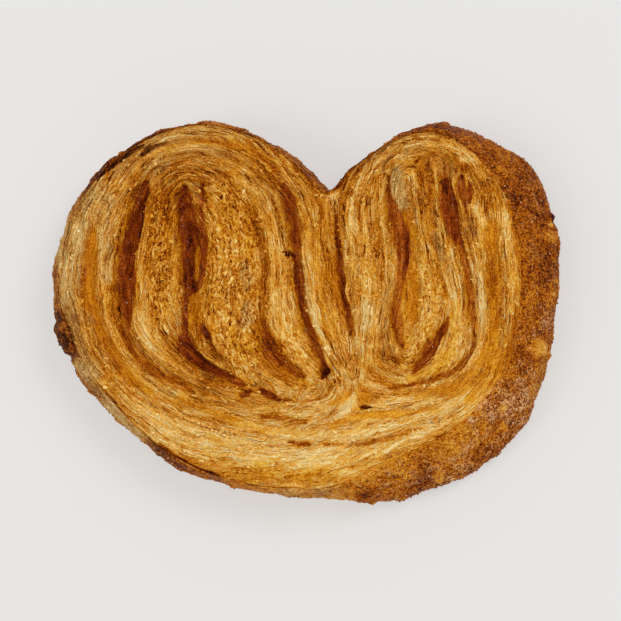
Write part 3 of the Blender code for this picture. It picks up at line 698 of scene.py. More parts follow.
    (-0.1, ((17, -17.6, 0.8), (19, -19.2, 0.9), (13, -20.6, 0.9), (12.6, -23, 0.8))),
    (-0.09, ((41, -19.6, 0.8), (38.4, -24, 0.9), (34.4, -27, 0.8))),
    (0.09, ((-45.4, 21.6, 0.6), (-47, 18, 0.8))),
    (0.1, ((-17.4, 16.4, 1.2), (-16.6, 14, 1))),
    (0.08, ((-33.2, 19.4, 0.9), (-33, 16.4, 0.9))),
    (0.08, ((-41.4, -1.6, 0.8), (-40.6, -3.6, 0.9), (-37, -8.6, 0.9), (-34, -10.6, 0.7))),
    (0.09, ((-44, -14, 0.7), (-39, -17.6, 0.9), (-31.6, -23, 0.9))),
    (0.09, ((-16.4, -9.6, 0.8), (-13.6, -12, 0.9))),
    (0.07, ((-24, 37.6, 0.8), (-17.6, 33.6, 0.8), (-17, 30.6, 0.6))),
    (0.12, ((37, 35.6, 0.7), (39.6, 34.6, 0.6))),
    (0.2, ((36.6, 35.4, 0.5), (42.6, 34.8, 0.6), (45.4, 31, 0.8), (47.8, 26.6, 0.9))),
    (0.12, ((39.4, 23.8, 0.5), (39.8, 22.6, 0.8))),
    (0.08, ((20.8, 19, 0.8), (21.6, 17, 0.8))),
    (0.1, ((22, -4, 0.8), (22.6, -7, 0.9))),
    (0.1, ((20, -17.6, 0.5), (26, -16.2, 0.7), (31, -15, 0.6), (33.6, -12, 0.6))),
    (0.08, ((15.4, 8, 0.6), (14.8, 0, 0.7))),
    (0.07, ((20.6, 8, 0.7), (21, 2, 0.8))),
    (0.08, ((-20.6, -26, 0.8), (-12, -27, 0.8))),
    (0.08, ((-24, -31.4, 0.8), (-18, -31.6, 0.7))),
    (0.08, ((6, -36, 0.8), (10, -37.6, 0.8))),
)
# Broad patches that browned more or less than the rest: x, y, radius in mm, change of tone.
HEAT = (
    (-34, 14, 24, -0.08), (-14, 12, 16, -0.07), (-49, -2, 16, -0.07), (-26, 40, 16, -0.06),
    (18, 14, 16, -0.03), (34, 20, 14, -0.03), (-30, -29, 18, 0.08), (2, -31, 18, 0.15),
    (22, -29, 14, 0.07), (-40, 31, 7, -0.07), (-22, -9, 7, -0.09), (12, -20, 10, -0.05),
    (-10, -17, 8, -0.04), (47, 16, 5, -0.06), (12, -32, 6, -0.07), (-24, -22, 7, -0.05),
    (8, 3, 8, 0.05), (20, 32, 7, -0.05), (-32, 28, 6, -0.05), (30, -8, 6, 0.04),
)

# Kinds that fade out slowly, and where their strokes end, in half widths: last, the halo round
# the caramel.
FADING = ((BROWNED, 1.9), (AMBER, 1.7), (PALE, 1.7), (GREYED, 1.8), (CARAMEL, 2.4))
STROKE_STEPS = 5          # points of a stroke from one guide point to the next
STROKE_SPACING = 1.0      # mm between its points after that
SEAM_SPACING = 1.2        # mm between the points of a seam
THINNEST = 0.15           # mm: half width below which a frayed stroke doesn't go
# Grain of the face: seed, mm along the layers, and mm across them where it is drawn out along
# them. A sheet is a bundle of leaves.
FACE_GRAIN = {
    "sheet": (11, 22.0, 2.4), "leaf": (12, 14.0, 1.0), "fine": (13, 9.0, 0.6),
    "split": (15, 20.0, 1.5), "patch": (16, 7.0, 1.0), "crinkle": (17, 1.2, 0.8),
    "wave": (18, 6.5, 1.0), "crease": (19, 1.8, 1.0), "mottle": (20, 2.2, 1.0),
    "crumb": (21, 0.8, 1.0), "strand": (22, 6.0, 0.7),
}


class Bake:
    """Looks and relief of a cut face at any of its points."""

    def __init__(self, layering, rim):
        self.layering = layering
        self.rim = closed(rim)
        self.grain = {name: Grain(seed) for name, (seed, _, _) in FACE_GRAIN.items()}
        self.seams = [(depth, half, even_spacing(smooth_curve(guide), SEAM_SPACING))
                      for depth, half, guide in SEAMS.values()]

    def noise(self, name, points, out=0.0):
        """Grain of one kind, drawn out along the layers where their count is given as out."""
        _, along, across = FACE_GRAIN[name]
        return self.grain[name](points[:, 0] / along, points[:, 1] / along, out / across)

    def leaves(self, name, points, out):
        """Leaves of dough counted across: their running count, each one's level, place across."""
        _, along, pitch = FACE_GRAIN[name]
        x, y = points[:, 0] / along, points[:, 1] / along
        grain = self.grain[name]
        wander = 0.6 * grain(x / 2, y / 2, out / (3.4 * pitch))
        count = out / pitch + 0.7 * grain(x, y, 0.5) + wander
        index = np.floor(count)
        return count, grain(x * 1.4, y * 1.4, index * LEAF_STRIDE + 0.37), count - index

    def cover(self, guide, points, fray, soft, firm):
        """How far one stroke covers each point, with edges that fray along the layers."""
        line = even_spacing(smooth_curve(guide, STROKE_STEPS), STROKE_SPACING)
        away, half = near_line(points, line, (soft + 0.9) * line[:, 2].max() + 0.5)
        share = away / np.maximum(half[:, 0] * (1 + fray), THINNEST)
        return 1 - smoothstep(firm, soft, share)

    def strokes(self, table, points, fray, soft=1.35, firm=0.55):
        """Strength of the strokes of one kind."""
        total = np.zeros(len(points))
        for strength, guide in table:
            total = np.maximum(total, strength * self.cover(guide, points, fray, soft, firm))
        return total

    def touches(self, points, fray):
        """Sum of the single darker and lighter spots."""
        return sum(change * self.cover(guide, points, fray, 2.1, 0.4) for change, guide in TOUCHES)

    def heat(self, points):
        change = np.zeros(len(points))
        for x, y, radius, shift in HEAT:
            gap = (points[:, 0] - x) ** 2 + (points[:, 1] - y) ** 2
            change += shift * np.exp(-gap / radius ** 2)
        return change

    def groove(self, points):
        """Depth of the seams' grooves, and the distance to the nearest seam or the rim."""
        deepest = np.zeros(len(points))
        nearest, _ = to_line(points, self.rim)
        for depth, half, line in self.seams:
            away, _ = near_line(points, line, SWELL_REACH + half)
            deepest = np.maximum(deepest, depth * np.exp(-(away / half) ** 2))
            nearest = np.minimum(nearest, away)
        return deepest, nearest

    def face(self, points):
        """Everything about the face at these points: relief in mm and finish shares."""
        x, y = points[:, 0], points[:, 1]
        # the layers, and the grain that roughens them
        straight = self.layering.read(self.layering.out, points)
        bubbles = self.grain["patch"](x / 4.0, y / 4.0, 3.0)
        sponge = self.strokes(SPONGE, points, 0.4 * bubbles, 1.6)
        out = straight + 0.60 * self.noise("wave", points)
        out += (0.16 + 0.20 * sponge) * self.noise("crease", points)
        _, sheet, over_sheet = self.leaves("sheet", points, out)
        leaf_count, leaf, over_leaf = self.leaves("leaf", points, out)
        fine, split, strand, crinkle = [
            self.noise(name, points, out) for name in ("fine", "split", "strand", "crinkle")]
        patch, mottle, crumb = [self.noise(name, points) for name in ("patch", "mottle", "crumb")]
        # where each kind of baking shows
        fray = 0.22 * leaf + 0.15 * fine + 0.2 * patch + 0.25 * mottle
        caramel = self.strokes(CARAMEL, points, 0.9 * fray + 0.4 * strand, 1.3, 0.68)
        browned, amber, pale, greyed, halo = [
            self.strokes(table, points, fray, soft) for table, soft in FADING]
        touched = self.touches(points, fray + 0.3 * strand)
        burnt_and_shade = self.strokes(BURNT_AND_SHADE, points, 0.6 * fray)
        groove, nearest = self.groove(points)
        from_rim, _ = to_line(points, self.rim)
        pore = sponge * smoothstep(0.05, 0.5, crinkle)
        glaze = np.maximum(np.maximum(caramel, 0.85 * amber), 0.6 * browned) * (1 - 0.8 * pale)
        layered = (1 - glaze) * (1 - 0.75 * sponge) * (1 - 0.35 * pale)
        torn_open = smoothstep(0.0, 0.4, patch + 0.4 * sheet)
        gap = (1 - smoothstep(0.04, 0.20, np.abs(split))) * torn_open
        gap *= layered
        under_sheet = smoothstep(0.84, 0.98, over_sheet)
        # the right roll is rougher than the rest
        rugged = 1 + 0.9 * np.exp(-((x - 26) ** 2 + (y - 12) ** 2) / 22.0 ** 2)

        tone = 0.59 + 0.05 * patch + self.heat(points)
        tone += (0.3 + 0.7 * layered) * (0.09 * sheet + 0.04 * fine) * rugged
        # lighter up each sheet towards its raised edge and darker at the step after it: painted
        # highlight and painted shade, besides the real step in lift
        tone += layered * (0.04 * over_sheet - 0.12 * under_sheet)
        tone += glaze * (0.09 * mottle + 0.05 * crumb)
        tone += 0.15 * pale + 0.05 * greyed - 0.05 * sponge
        # gap darkens where the layers split open: painted shade, on top of the real groove that
        # lift cuts there
        tone -= 0.18 * browned + 0.05 * amber + 0.05 * halo + 0.14 * gap - touched
        boiled = 0.15 + 0.10 * strand + 0.05 * fine + 0.06 * mottle + 0.03 * crumb
        tone = tone * (1 - 0.88 * caramel) + caramel * boiled
        # nearly black strokes: burnt spots, and painted shade in holes, slots and under a flap
        tone = tone * (1 - 0.85 * burnt_and_shade)
        tone -= 0.10 * (1 - smoothstep(0.2, 1.8, from_rim + 0.6 * leaf))

        swell = FOLD_SWELL * np.sin(capped(nearest / SWELL_REACH) * math.pi / 2)
        lift = swell - groove
        lift += layered * rugged * (0.42 * sheet + 0.27 * leaf + 0.30 * over_leaf)
        lift += layered * (0.20 * over_sheet - 0.36 * under_sheet)
        lift += layered * 0.16 * fine + sponge * 0.42 * crinkle
        lift += 0.45 * pale - 0.55 * caramel - 0.35 * browned - 0.25 * amber - 0.5 * burnt_and_shade
        lift -= 0.20 * pore + 0.42 * gap
        lift += glaze * (0.20 * mottle + 0.14 * crumb)
        glow = 0.9 * amber + 0.35 * browned * (1 - pale) + 0.7 * halo + 0.3 * sponge
        return {
            "lift": lift,
            "from_rim": from_rim,
            "tone": capped(tone),
            "amber": capped(glow),
            "grey": capped(greyed * (0.75 + 0.5 * leaf)),
            "gloss": capped(caramel + 0.2 * amber),
            "layered": capped(layered),
            "sponge": capped(sponge * (1 - caramel)),
            "fibre": out,
            "leaf": leaf_count,
        }


# ------------------------------------------------------------------ where everything is
FINE = 0.34               # mm between mesh points on the upper face
UNDER_FINE = 0.74         # the same on the underside
RIM_INSET = 0.30          # the layers stop this far inside the rim, under the crust's lip
CRUST_DEPTH = 0.7         # and this far inside the crust further down
EDGE_STEPS = 40           # points of the edge from one guide point to the next
# Ripples of the crust's spread where it is wide: how many go round the slice, size, shift.
RIPPLES = ((9, 0.6, 0.0), (16, 0.5, 1.3), (29, 0.5, 0.4))
RIPPLE_SIZE = 0.4         # mm


def outward_normals(loop):
    """Unit normals of a closed clockwise loop, pointing away from its inside."""
    along = unit(np.roll(loop, -1, axis=0) - np.roll(loop, 1, axis=0))
    return np.stack([-along[:, 1], along[:, 0]], axis=1)


class Slice:
    """The slice in plan, in guide millimetres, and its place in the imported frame."""

    def __init__(self):
        guide = smooth_curve(EDGE, EDGE_STEPS, around=True)
        turn = np.linspace(0.0, 2 * math.pi, len(guide), endpoint=False)[:, None]
        guide = np.hstack([guide, turn])
        first = guide[:1] + np.array([[0, 0, 0, 2 * math.pi]])
        rim = even_spacing(np.vstack([guide, first]), FINE)[:-1]
        self.rim = rim[:, :2]
        self.out = outward_normals(self.rim)
        lumps = sum(size * np.sin(count * rim[:, 3] + shift) for count, size, shift in RIPPLES)
        self.spread = rim[:, 2] + RIPPLE_SIZE * lumps * smoothstep(1.8, 2.2, rim[:, 2])
        widest = self.leaned(self.offset(self.spread))
        low, high = widest.min(axis=0), widest.max(axis=0)
        size = np.array([cad_high.x - cad_low.x, cad_high.y - cad_low.y]) / MM
        self.scale = size / (high - low)
        self.centre = (low + high) / 2
        self.middle = np.array([cad_high.x + cad_low.x, cad_high.y + cad_low.y]) / 2

    def offset(self, by):
        """The rim moved outwards by so many mm, which may differ along it."""
        return self.rim + self.out * np.broadcast_to(by, len(self.rim))[:, None]

    def leaned(self, points):
        return np.column_stack([points[:, 0] + LEAN * points[:, 1], points[:, 1]])

    def place(self, points):
        """Points in guide mm, with their height above the tray, as places in the frame."""
        flat = (self.leaned(points) - self.centre) * self.scale * MM + self.middle
        return np.column_stack([flat, cad_low.z + points[:, 2] * MM])

    def inside(self, points, clear=0.0):
        """Whether points lie within the rim, clear of it by so many mm."""
        away, _ = to_line(points, closed(self.rim)[::4])
        return inside_loop(points, self.rim) & (away > clear)

    def spots(self, rng, tries, clear=0.0):
        """Random places on the cut face."""
        spots = rng.uniform(self.rim.min(axis=0), self.rim.max(axis=0), (tries, 2))
        return spots[self.inside(spots, clear)]


def make_mesh(name, points, faces, looks, material, smooth=True):
    mesh = bpy.data.meshes.new(name)
    mesh.from_pydata(points.tolist(), [], faces)
    for key, values in looks.items():
        store = mesh.attributes.new(key, "FLOAT", "POINT")
        store.data.foreach_set("value", values.astype(np.float32))
    mesh.materials.append(material)
    if smooth:
        mesh.shade_smooth()
    mesh.update()
    piece = bpy.data.objects.new(name, mesh)
    bpy.context.scene.collection.objects.link(piece)
    return piece


def hand_in(piece, stands_for=False):
    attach(piece, BODY)
    if stands_for:
        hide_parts(NODE)


# ------------------------------------------------------------------ the layered faces
FACE_LOOKS = ("tone", "amber", "grey", "gloss", "layered", "sponge", "fibre", "leaf")
UNDER_DARKER = 0.10       # the face on the tray browned more,
UNDER_AMBER = 0.35        # in the sugar that ran down
UNDER_OPEN = 0.55         # share of a fold's depth that stayed open under it,
UNDER_REACH = 0.35        # where the fold is lower than this many mm
RIM_CALM = 0.25           # share of the relief that is left at the rim
PITCH_JITTER = 0.06       # unevenness of the triangles, and their gap to the border: both as
PITCH_GAP = 0.62          # shares of the distance between points


def fill_loop(border, pitch):
    """Even triangles inside a closed border, which keeps its own points first."""
    low, high = border.min(axis=0), border.max(axis=0)
    rows = []
    for index, y in enumerate(np.arange(low[1], high[1], pitch * math.sqrt(3) / 2)):
        xs = np.arange(low[0] + (pitch / 2 if index % 2 else 0.0), high[0], pitch)
        rows.append(np.stack([xs, np.full(len(xs), y)], axis=1))
    fill = np.vstack(rows)
    fill += np.random.default_rng(7).normal(0.0, PITCH_JITTER * pitch, fill.shape)
    away, _ = to_line(fill, closed(border[::4]))
    fill = fill[inside_loop(fill, border) & (away > PITCH_GAP * pitch)]
    points = [Vector(point) for point in np.vstack([border, fill])]
    edges = [(i, (i + 1) % len(border)) for i in range(len(border))]
    corners, _, triangles, *_ = delaunay_2d_cdt(points, edges, [], 1, 1e-7)
    return np.array([tuple(corner) for corner in corners]), np.array(triangles)


def upper_height(face):
    shoulder = 1.0 - np.exp(-face["from_rim"] / (0.8 * RIM_DROP))
    settled = HEIGHT - RIM_DROP + (RIM_DROP - FOLD_SWELL) * shoulder
    return settled + face["lift"] * (RIM_CALM + (1 - RIM_CALM) * shoulder)


def under_height(face):
    """Pressed flat on the tray where the dough stood out, open where it didn't reach."""
    fade = smoothstep(0.0, 2.0, face["from_rim"])
    return np.maximum(0.0, -UNDER_OPEN * (face["lift"] - UNDER_REACH)) * fade


def layered_faces(slice_, bake, material):
    """Both cut faces and the hidden side between them, as one closed body."""
    count = len(slice_.rim)
    shares = CRUST_PROFILE[-2::-1]
    upper, upper_faces = fill_loop(slice_.offset(-RIM_INSET), FINE)
    foot = slice_.offset(slice_.spread * shares[-1][1] - CRUST_DEPTH)
    under, under_faces = fill_loop(foot, UNDER_FINE)
    top, bottom = bake.face(upper), bake.face(under)
    bottom["tone"] = capped(bottom["tone"] - UNDER_DARKER)
    bottom["amber"] = capped(bottom["amber"] + UNDER_AMBER)
    heights = upper_height(top)
    points = [np.column_stack([upper, heights])]
    looks = [top]
    start = len(upper)
    rings = [np.arange(count)]
    for high, spread in shares[:-1]:
        outline = slice_.offset(slice_.spread * spread - CRUST_DEPTH)
        points.append(np.column_stack([outline, heights[:count] * high]))
        looks.append({key: values[:count] for key, values in top.items()})
        rings.append(start + np.arange(count))
        start += count
    points.append(np.column_stack([under, under_height(bottom)]))
    looks.append(bottom)
    rings.append(start + np.arange(count))
    faces = [upper_faces, under_faces[:, ::-1] + start]
    for above, below in zip(rings, rings[1:]):
        after_above, after_below = np.roll(above, -1), np.roll(below, -1)
        faces.append(np.column_stack([above, after_above, after_below]))
        faces.append(np.column_stack([above, after_below, below]))
    merged = {key: np.concatenate([look[key] for look in looks]) for key in FACE_LOOKS}
    return make_mesh("rolled_layers", slice_.place(np.vstack(points)), np.vstack(faces).tolist(),
                     merged, material)


# ------------------------------------------------------------------ the crust
# The crust's edges, from the rim: how far out and up its lip lies, the same for the turn under its
# foot, and the rings of its hidden back as height share, spread share and offset.
LIP = ((-1.7, -2.4), (-1.35, -1.0), (-1.0, -0.25), (-0.62, 0.12), (-0.25, 0.16), (0.0, -0.06))
UNDER_LIP = ((-0.9, 0.0), (-1.9, 0.12), (-2.8, 0.9))
BACK = ((0.42, 0.85, -2.4), (0.80, 0.45, -2.0))
CRUST_ROWS = 56
WALL_SIZE = np.array([6.0, 18.0])     # mm of spread and height that even out the rows
DEEPEST_HOLLOW = 0.5      # hollows of the crust stay clear of the layers under it
EVEN_BAKE = 0.31          # tone low on the sides that face away, and how much of it
EVEN_SUGAR = 0.55         # carries sugar
# Grain of the crust: seed, mm across a lump along the crust, and up it.
CRUST_GRAIN = {"lumps": (41, 8.0, 8.0), "bumps": (42, 2.8, 2.4), "blisters": (43, 3.6, 3.2),
               "knobs": (44, 1.3, 1.2), "crumbs": (45, 0.72, 0.72), "peel": (46, 11.0, 0.85)}

# How the crust has baked: x, y, tone, dull share, sugar share. A spot is where the crust shows
# past the upper face from the camera, so lower spots are drawn out by LOOK mm for each mm down.
LOOK = np.array([0.226, -0.105])
BAKED_ROUND = (
    (33, 43.5, 0.26, 0, 0.2), (40, 40.5, 0.32, 0, 0.3), (45, 39, 0.29, 0, 0.3),
    (48, 37.5, 0.36, 0, 0.4), (52, 34.5, 0.26, 0, 0.6), (48, 33, 0.37, 0, 0.4),
    (50, 30, 0.24, 0, 0.6), (54, 30, 0.29, 0, 0.7), (49.5, 27, 0.22, 0, 0.6),
    (53, 26, 0.23, 0, 0.7), (57, 25, 0.27, 0, 0.6), (51, 22, 0.33, 0, 0.6), (54.5, 22, 0.2, 0, 0.7),
    (58, 22, 0.13, 0, 0.3), (52, 18.5, 0.33, 0, 0.3), (57.5, 17.5, 0.43, 0, 0.3),
    (55, 14, 0.25, 0, 0.8), (59, 14, 0.24, 0, 0.5), (52, 12, 0.32, 0, 0.3), (52, 7, 0.34, 0, 0.5),
    (56, 8, 0.19, 0, 0.6), (58.5, 5, 0.4, 0, 0.3), (53.5, 3.5, 0.41, 0, 0.4), (51, 0, 0.42, 0, 0.3),
    (55, 0, 0.22, 0, 0.8), (57, -3, 0.37, 0.1, 1), (53, -5, 0.31, 0, 0.8), (54.5, -8.6, 0.36, 0, 0),
    (57.8, -9, 0.38, 0.1, 0.2), (58.8, 9, 0.32, 0.2, 0.1), (51, -12, 0.3, 0, 0.7),
    (54, -14, 0.38, 0, 0.8), (55, -18.5, 0.46, 0.4, 0.4), (56.6, -13, 0.42, 0.5, 0.2),
    (48, -14, 0.4, 0, 0.4), (47, -17.5, 0.37, 0, 0.7), (51, -18, 0.38, 0, 1), (48, -20, 0.46, 0, 1),
    (51.6, -22.5, 0.38, 0.2, 0.8), (43, -24, 0.43, 0, 1), (41, -27, 0.46, 0, 1),
    (45, -28.5, 0.33, 0, 0.8), (49, -26.6, 0.36, 0.1, 0.8), (37, -31, 0.42, 0.1, 1),
    (43.6, -32.6, 0.22, 0, 0.9), (36, -27.5, 0.42, 0, 0.3), (31, -31.5, 0.44, 0, 0.5),
    (34, -35, 0.38, 0.1, 1), (40, -36.4, 0.22, 0.1, 0.9), (28, -38.5, 0.28, 0, 0.8),
    (25, -33.5, 0.44, 0, 0.5), (22, -37, 0.46, 0, 0.8), (26, -42, 0.22, 0.1, 0.7),
    (20, -39.5, 0.36, 0, 0.7), (20, -44, 0.34, 0, 0.6), (14, -42.5, 0.27, 0, 0.5),
    (15.5, -37.6, 0.54, 0, 0.4), (9, -41.5, 0.52, 0, 0.3), (8, -43.6, 0.6, 0.1, 0.1),
    (4, -43, 0.52, 0.5, 0.1), (0, -42, 0.56, 0.2, 0.1), (-4, -43.4, 0.48, 0.6, 0.1),
    (-9, -41.5, 0.54, 0.1, 0.1), (-16, -41, 0.48, 0.1, 0.1), (-22, -39.5, 0.34, 0.1, 0.1),
    (-30.4, -37, 0.12, 0.1, 0.1), (-29, -35.6, 0.4, 0.2, 0.1), (-36, -34, 0.2, 0.3, 0.1),
    (-41, -29, 0.64, 0.7, 0.1), (-47, -23.5, 0.62, 0.8, 0.1), (-50, -19.5, 0.36, 0.6, 0.1),
    (-54, -13.5, 0.64, 0.9, 0.1), (-58.4, -9.4, 0, 0, 0), (-60.6, -5, 0, 0, 0),
    (-58.4, -4, 0.24, 0.4, 0), (-56.6, -8, 0.2, 0.3, 0), (-60.6, -1.6, 0.04, 0.1, 0),
    (-60, 2, 0.4, 0.4, 0.1), (-60, 8, 0.32, 0.4, 0.1), (-59.5, 14, 0.58, 0.7, 0.1),
    (-58, 20, 0.6, 0.7, 0.1), (-55.5, 25, 0.46, 0.5, 0.1), (-52, 30, 0.2, 0.1, 0.1),
    (-47, 35.5, 0.1, 0.1, 0.1), (-43, 38.5, 0.12, 0.1, 0.1), (-39, 41, 0.16, 0.1, 0.1),
    (-30, 44, 0.26, 0.1, 0.2), (-22, 45, 0.36, 0.1, 0.2), (-14, 43, 0.3, 0.1, 0.2),
    (-8, 40, 0.34, 0.3, 0.3), (-4, 37, 0.33, 0.3, 0.3), (0, 34, 0.3, 0.2, 0.3),
    (4, 30.5, 0.36, 0.1, 0.2), (8, 32, 0.26, 0.1, 0.2), (12, 35.5, 0.24, 0.1, 0.2),
    (18, 39.5, 0.4, 0, 0.1), (24, 42.5, 0.25, 0, 0.2), (29, 44.3, 0.24, 0, 0.2),
)
# Blisters and lumps of the crust: x, y as above, radius, rise, change of tone.
LUMPS = (
    (54.5, -8.6, 3, 0.9, 0.34), (46.4, -22.4, 1.3, 0.4, 0.32), (46.3, -27.2, 1.4, 0.5, 0.3),
    (31.5, -38.4, 1.8, 0.5, 0.18), (10.8, -42.6, 1.6, 0.4, 0.06), (13.8, -42.4, 3, 0.9, -0.07),
    (16.8, -42.2, 1.8, 0.5, -0.05), (-2.2, -40.8, 2.2, 0.6, 0.1), (57.8, 17.4, 1.6, 0.3, 0.1),
    (58.2, 22.2, 1.2, 0.6, -0.06), (-58.6, -5, 3.6, 1.5, -0.02), (-57.4, -8.6, 2.4, 1.2, -0.04),
    (36.5, 44.4, 4, -0.6, 0), (41.5, 43.4, 4, -0.8, 0), (-30, 45, 6, -0.7, 0),
    (-10, 42, 5, -0.6, 0), (55.4, -18.5, 5, -0.7, 0), (-21.5, -40.4, 4, -0.6, 0),
    (19.5, -44.8, 4.5, -0.8, 0), (-54.4, 28.4, 4, -0.5, 0), (-44.6, 38.4, 3, -0.5, 0),
    (18.4, 40.4, 5, -0.5, 0), (47, -31.8, 5, 0.6, 0), (38.6, -38.2, 5, 0.5, 0),
    (59.6, 3, 8, 0.3, 0), (57.8, 20.4, 1, 0.2, 0.5), (56.5, 1.1, 0.7, 0.1, 0.3),
    (57.4, 2.6, 0.7, 0.1, 0.3), (58.2, 4.2, 0.7, 0.1, 0.3), (59.3, 7, 1, 0.1, 0.25),
    (-44, 37.6, 1.5, 0.5, 0), (-47.2, 34.8, 1.2, 0.4, 0), (24, -38.6, 1.2, 0.4, 0.08),
    (52.8, 3.6, 1.8, 0.4, 0.06), (38, -32, 12, 0, 0.08), (20, -39.4, 8, 0, 0.06),
    (12.5, -38.4, 4, 0, 0.08),
)


def baked_round(places):
    """Tone, dull share and sugar share of the crust at these places."""
    spots = np.array(BAKED_ROUND)
    looks = np.empty((len(places), 3))
    for block, pull in pulls(places, spots[:, :2], 5.0, 12):
        looks[block] = (pull @ spots[:, 2:]) / pull.sum(axis=1)[:, None]
    return looks


def lumps_at(places):
    """Rise in mm and change of tone that the single lumps make."""
    rise, tone = np.zeros(places.shape[:-1]), np.zeros(places.shape[:-1])
    for x, y, radius, height, change in LUMPS:
        share = np.hypot(places[..., 0] - x, places[..., 1] - y) / radius
        dome = 1 - smoothstep(0.35, 1.0, share)
        rise += height * dome
        tone += change * dome
    return rise, tone


def wall_curve():
    """The crust's profile from the lip down to the tray: spread shares and height shares."""
    profile = np.array(CRUST_PROFILE)[::-1, ::-1]
    curve = even_spacing(smooth_curve(profile * WALL_SIZE, 12), 0.05)
    rows = np.linspace(0.0, len(curve) - 1, CRUST_ROWS).astype(int)[1:]
    return curve[rows] / WALL_SIZE


def crust_sections(slice_, rim_height):
    """Rings of the crust: plan offsets and heights, and how freely each may be roughened."""
    spread = slice_.spread
    reach = 0.35 + 0.65 * smoothstep(3.4, 6.0, spread)
    rings = [(offset * reach, rim_height + rise, min(1.0, step / 3.0) * 0.5)
             for step, (offset, rise) in enumerate(LIP)]
    for across, high in wall_curve():
        rings.append((spread * across, rim_height * high, 0.6 + 0.4 * min(1.0, high * 5.0)))
    foot = spread * CRUST_PROFILE[0][1]
    rings += [(foot + offset, np.full(len(spread), rise), 0.0) for offset, rise in UNDER_LIP]
    rings += [(spread * across + offset, rim_height * high, 0.0) for high, across, offset in BACK]
    return rings


def crust(slice_, bake, material):
    """The outermost turn of dough: a closed band round the layers."""
    rim_height = upper_height(bake.face(slice_.offset(-0.3))) + 0.1
    rings = crust_sections(slice_, rim_height)
    count, rows = len(slice_.rim), len(rings)
    plan = np.stack([slice_.offset(offset) for offset, _, _ in rings])
    heights = np.stack([high for _, high, _ in rings])
    freedom = np.array([free for _, _, free in rings])[:, None]
    solid = np.dstack([plan, heights])
    around = np.roll(solid, -1, axis=1) - np.roll(solid, 1, axis=1)
    normal = unit(np.cross(np.gradient(solid, axis=0), around), 1e-9)
    if (normal[rows // 3, :, :2] * slice_.out).sum() < 0:
        normal = -normal

    x, y, z = solid[..., 0], solid[..., 1], solid[..., 2]
    lumps, bumps, blisters, knobs, crumbs, peel = [
        Grain(seed)(x / wide, y / wide, z / high) for seed, wide, high in CRUST_GRAIN.values()]
    blisters = smoothstep(0.25, 0.8, blisters)
    top_share = smoothstep(0.45, 0.95, heights / rim_height)

    places = plan + (HEIGHT - heights)[..., None] * LOOK
    looks = baked_round(places.reshape(-1, 2)).reshape(rows, count, 3)
    away = slice_.out @ (LOOK / np.hypot(*LOOK))
    hidden = smoothstep(0.35, -0.15, away) * (1 - smoothstep(0.3, 0.65, heights / rim_height))
    even = np.stack([EVEN_BAKE + 0.13 * lumps, np.zeros_like(lumps),
                     np.full_like(lumps, EVEN_SUGAR)], axis=-1)
    looks += hidden[..., None] * (even - looks)
    base, dull, sugar = looks[..., 0], looks[..., 1], looks[..., 2]
    rise, change = lumps_at(places + 0.5 * np.stack([bumps, knobs], axis=-1))
    sugar = sugar * (1 - capped(3 * change))                # golden blisters carry no sugar
    rough = 0.25 + 0.75 * sugar
    shift = 0.42 * lumps + 0.30 * bumps + 0.5 * blisters + 0.22 * knobs + 0.24 * rough * crumbs
    shift += 0.26 * top_share * peel + rise
    solid = solid + normal * (np.maximum(shift, -DEEPEST_HOLLOW) * freedom)[..., None]
    solid[..., 2] = np.maximum(solid[..., 2], 0.0)
    toast = base + change + 0.04 * lumps + 0.05 * bumps + 0.05 * blisters
    flaky = 1 - capped(2.5 * sugar)                         # bare sides show the leaves' edges
    toast += 0.06 * knobs + 0.05 * crumbs + (0.05 + 0.16 * flaky) * top_share * peel

    looks = {"toast": toast, "dull": dull + 0.2 * bumps, "sugar": sugar + 0.35 * bumps}
    looks = {key: capped(values).ravel() for key, values in looks.items()}
    index = np.arange(rows * count).reshape(rows, count)
    below = np.roll(index, -1, axis=0)
    quads = np.stack([index, below, np.roll(below, -1, axis=1), np.roll(index, -1, axis=1)],
                     axis=-1).reshape(-1, 4)
    piece = make_mesh("sugared_crust", slice_.place(solid.reshape(-1, 3)), quads.tolist(), looks,
                      material)
    outside = slice(len(LIP), len(LIP) + CRUST_ROWS - 1)
    return piece, solid[outside], normal[outside], sugar[outside]


# ------------------------------------------------------------------ flakes and sugar
CLEAR_OF_RIM = 0.8        # mm from the rim to the nearest flake
FLAKES = 1000             # leaf edges that stand up, each with so many points along it
FLAKE_STEPS = 12
# Random places tried for a standing flake, a chip, and a crystal in the caramel or on the crust.
FLAKE_TRIES, CHIP_TRIES, CARAMEL_TRIES, CRUST_TRIES = 6000, 9000, 26000, 30000
# Least and most, in mm: of a flake, of a chip's three half measures, of a crystal's half size.
FLAKE_LENGTH, FLAKE_HEIGHT, FLAKE_THICKNESS = (1.6, 6.5), (0.2, 0.7), (0.16, 0.30)
CHIP_SIZES = ((0.22, 0.75), (0.15, 0.42), (0.06, 0.14))
CARAMEL_GRAIN, CRUST_CRYSTAL = (0.10, 0.22), (0.14, 0.30)
# Section of a flake: share of its thickness to the side, share of its height, change of tone: a
# painted highlight along the top and painted shade at the root.
FLAKE_SECTION = ((-1, -1.0, -0.08), (-1, 0.5, 0.0), (-0.5, 1.0, 0.09), (0.5, 1.0, 0.09),
                 (1, 0.5, 0.0), (1, -1.0, -0.08))
FLAKE_ROOT = 0.5          # mm that a flake reaches down into the face


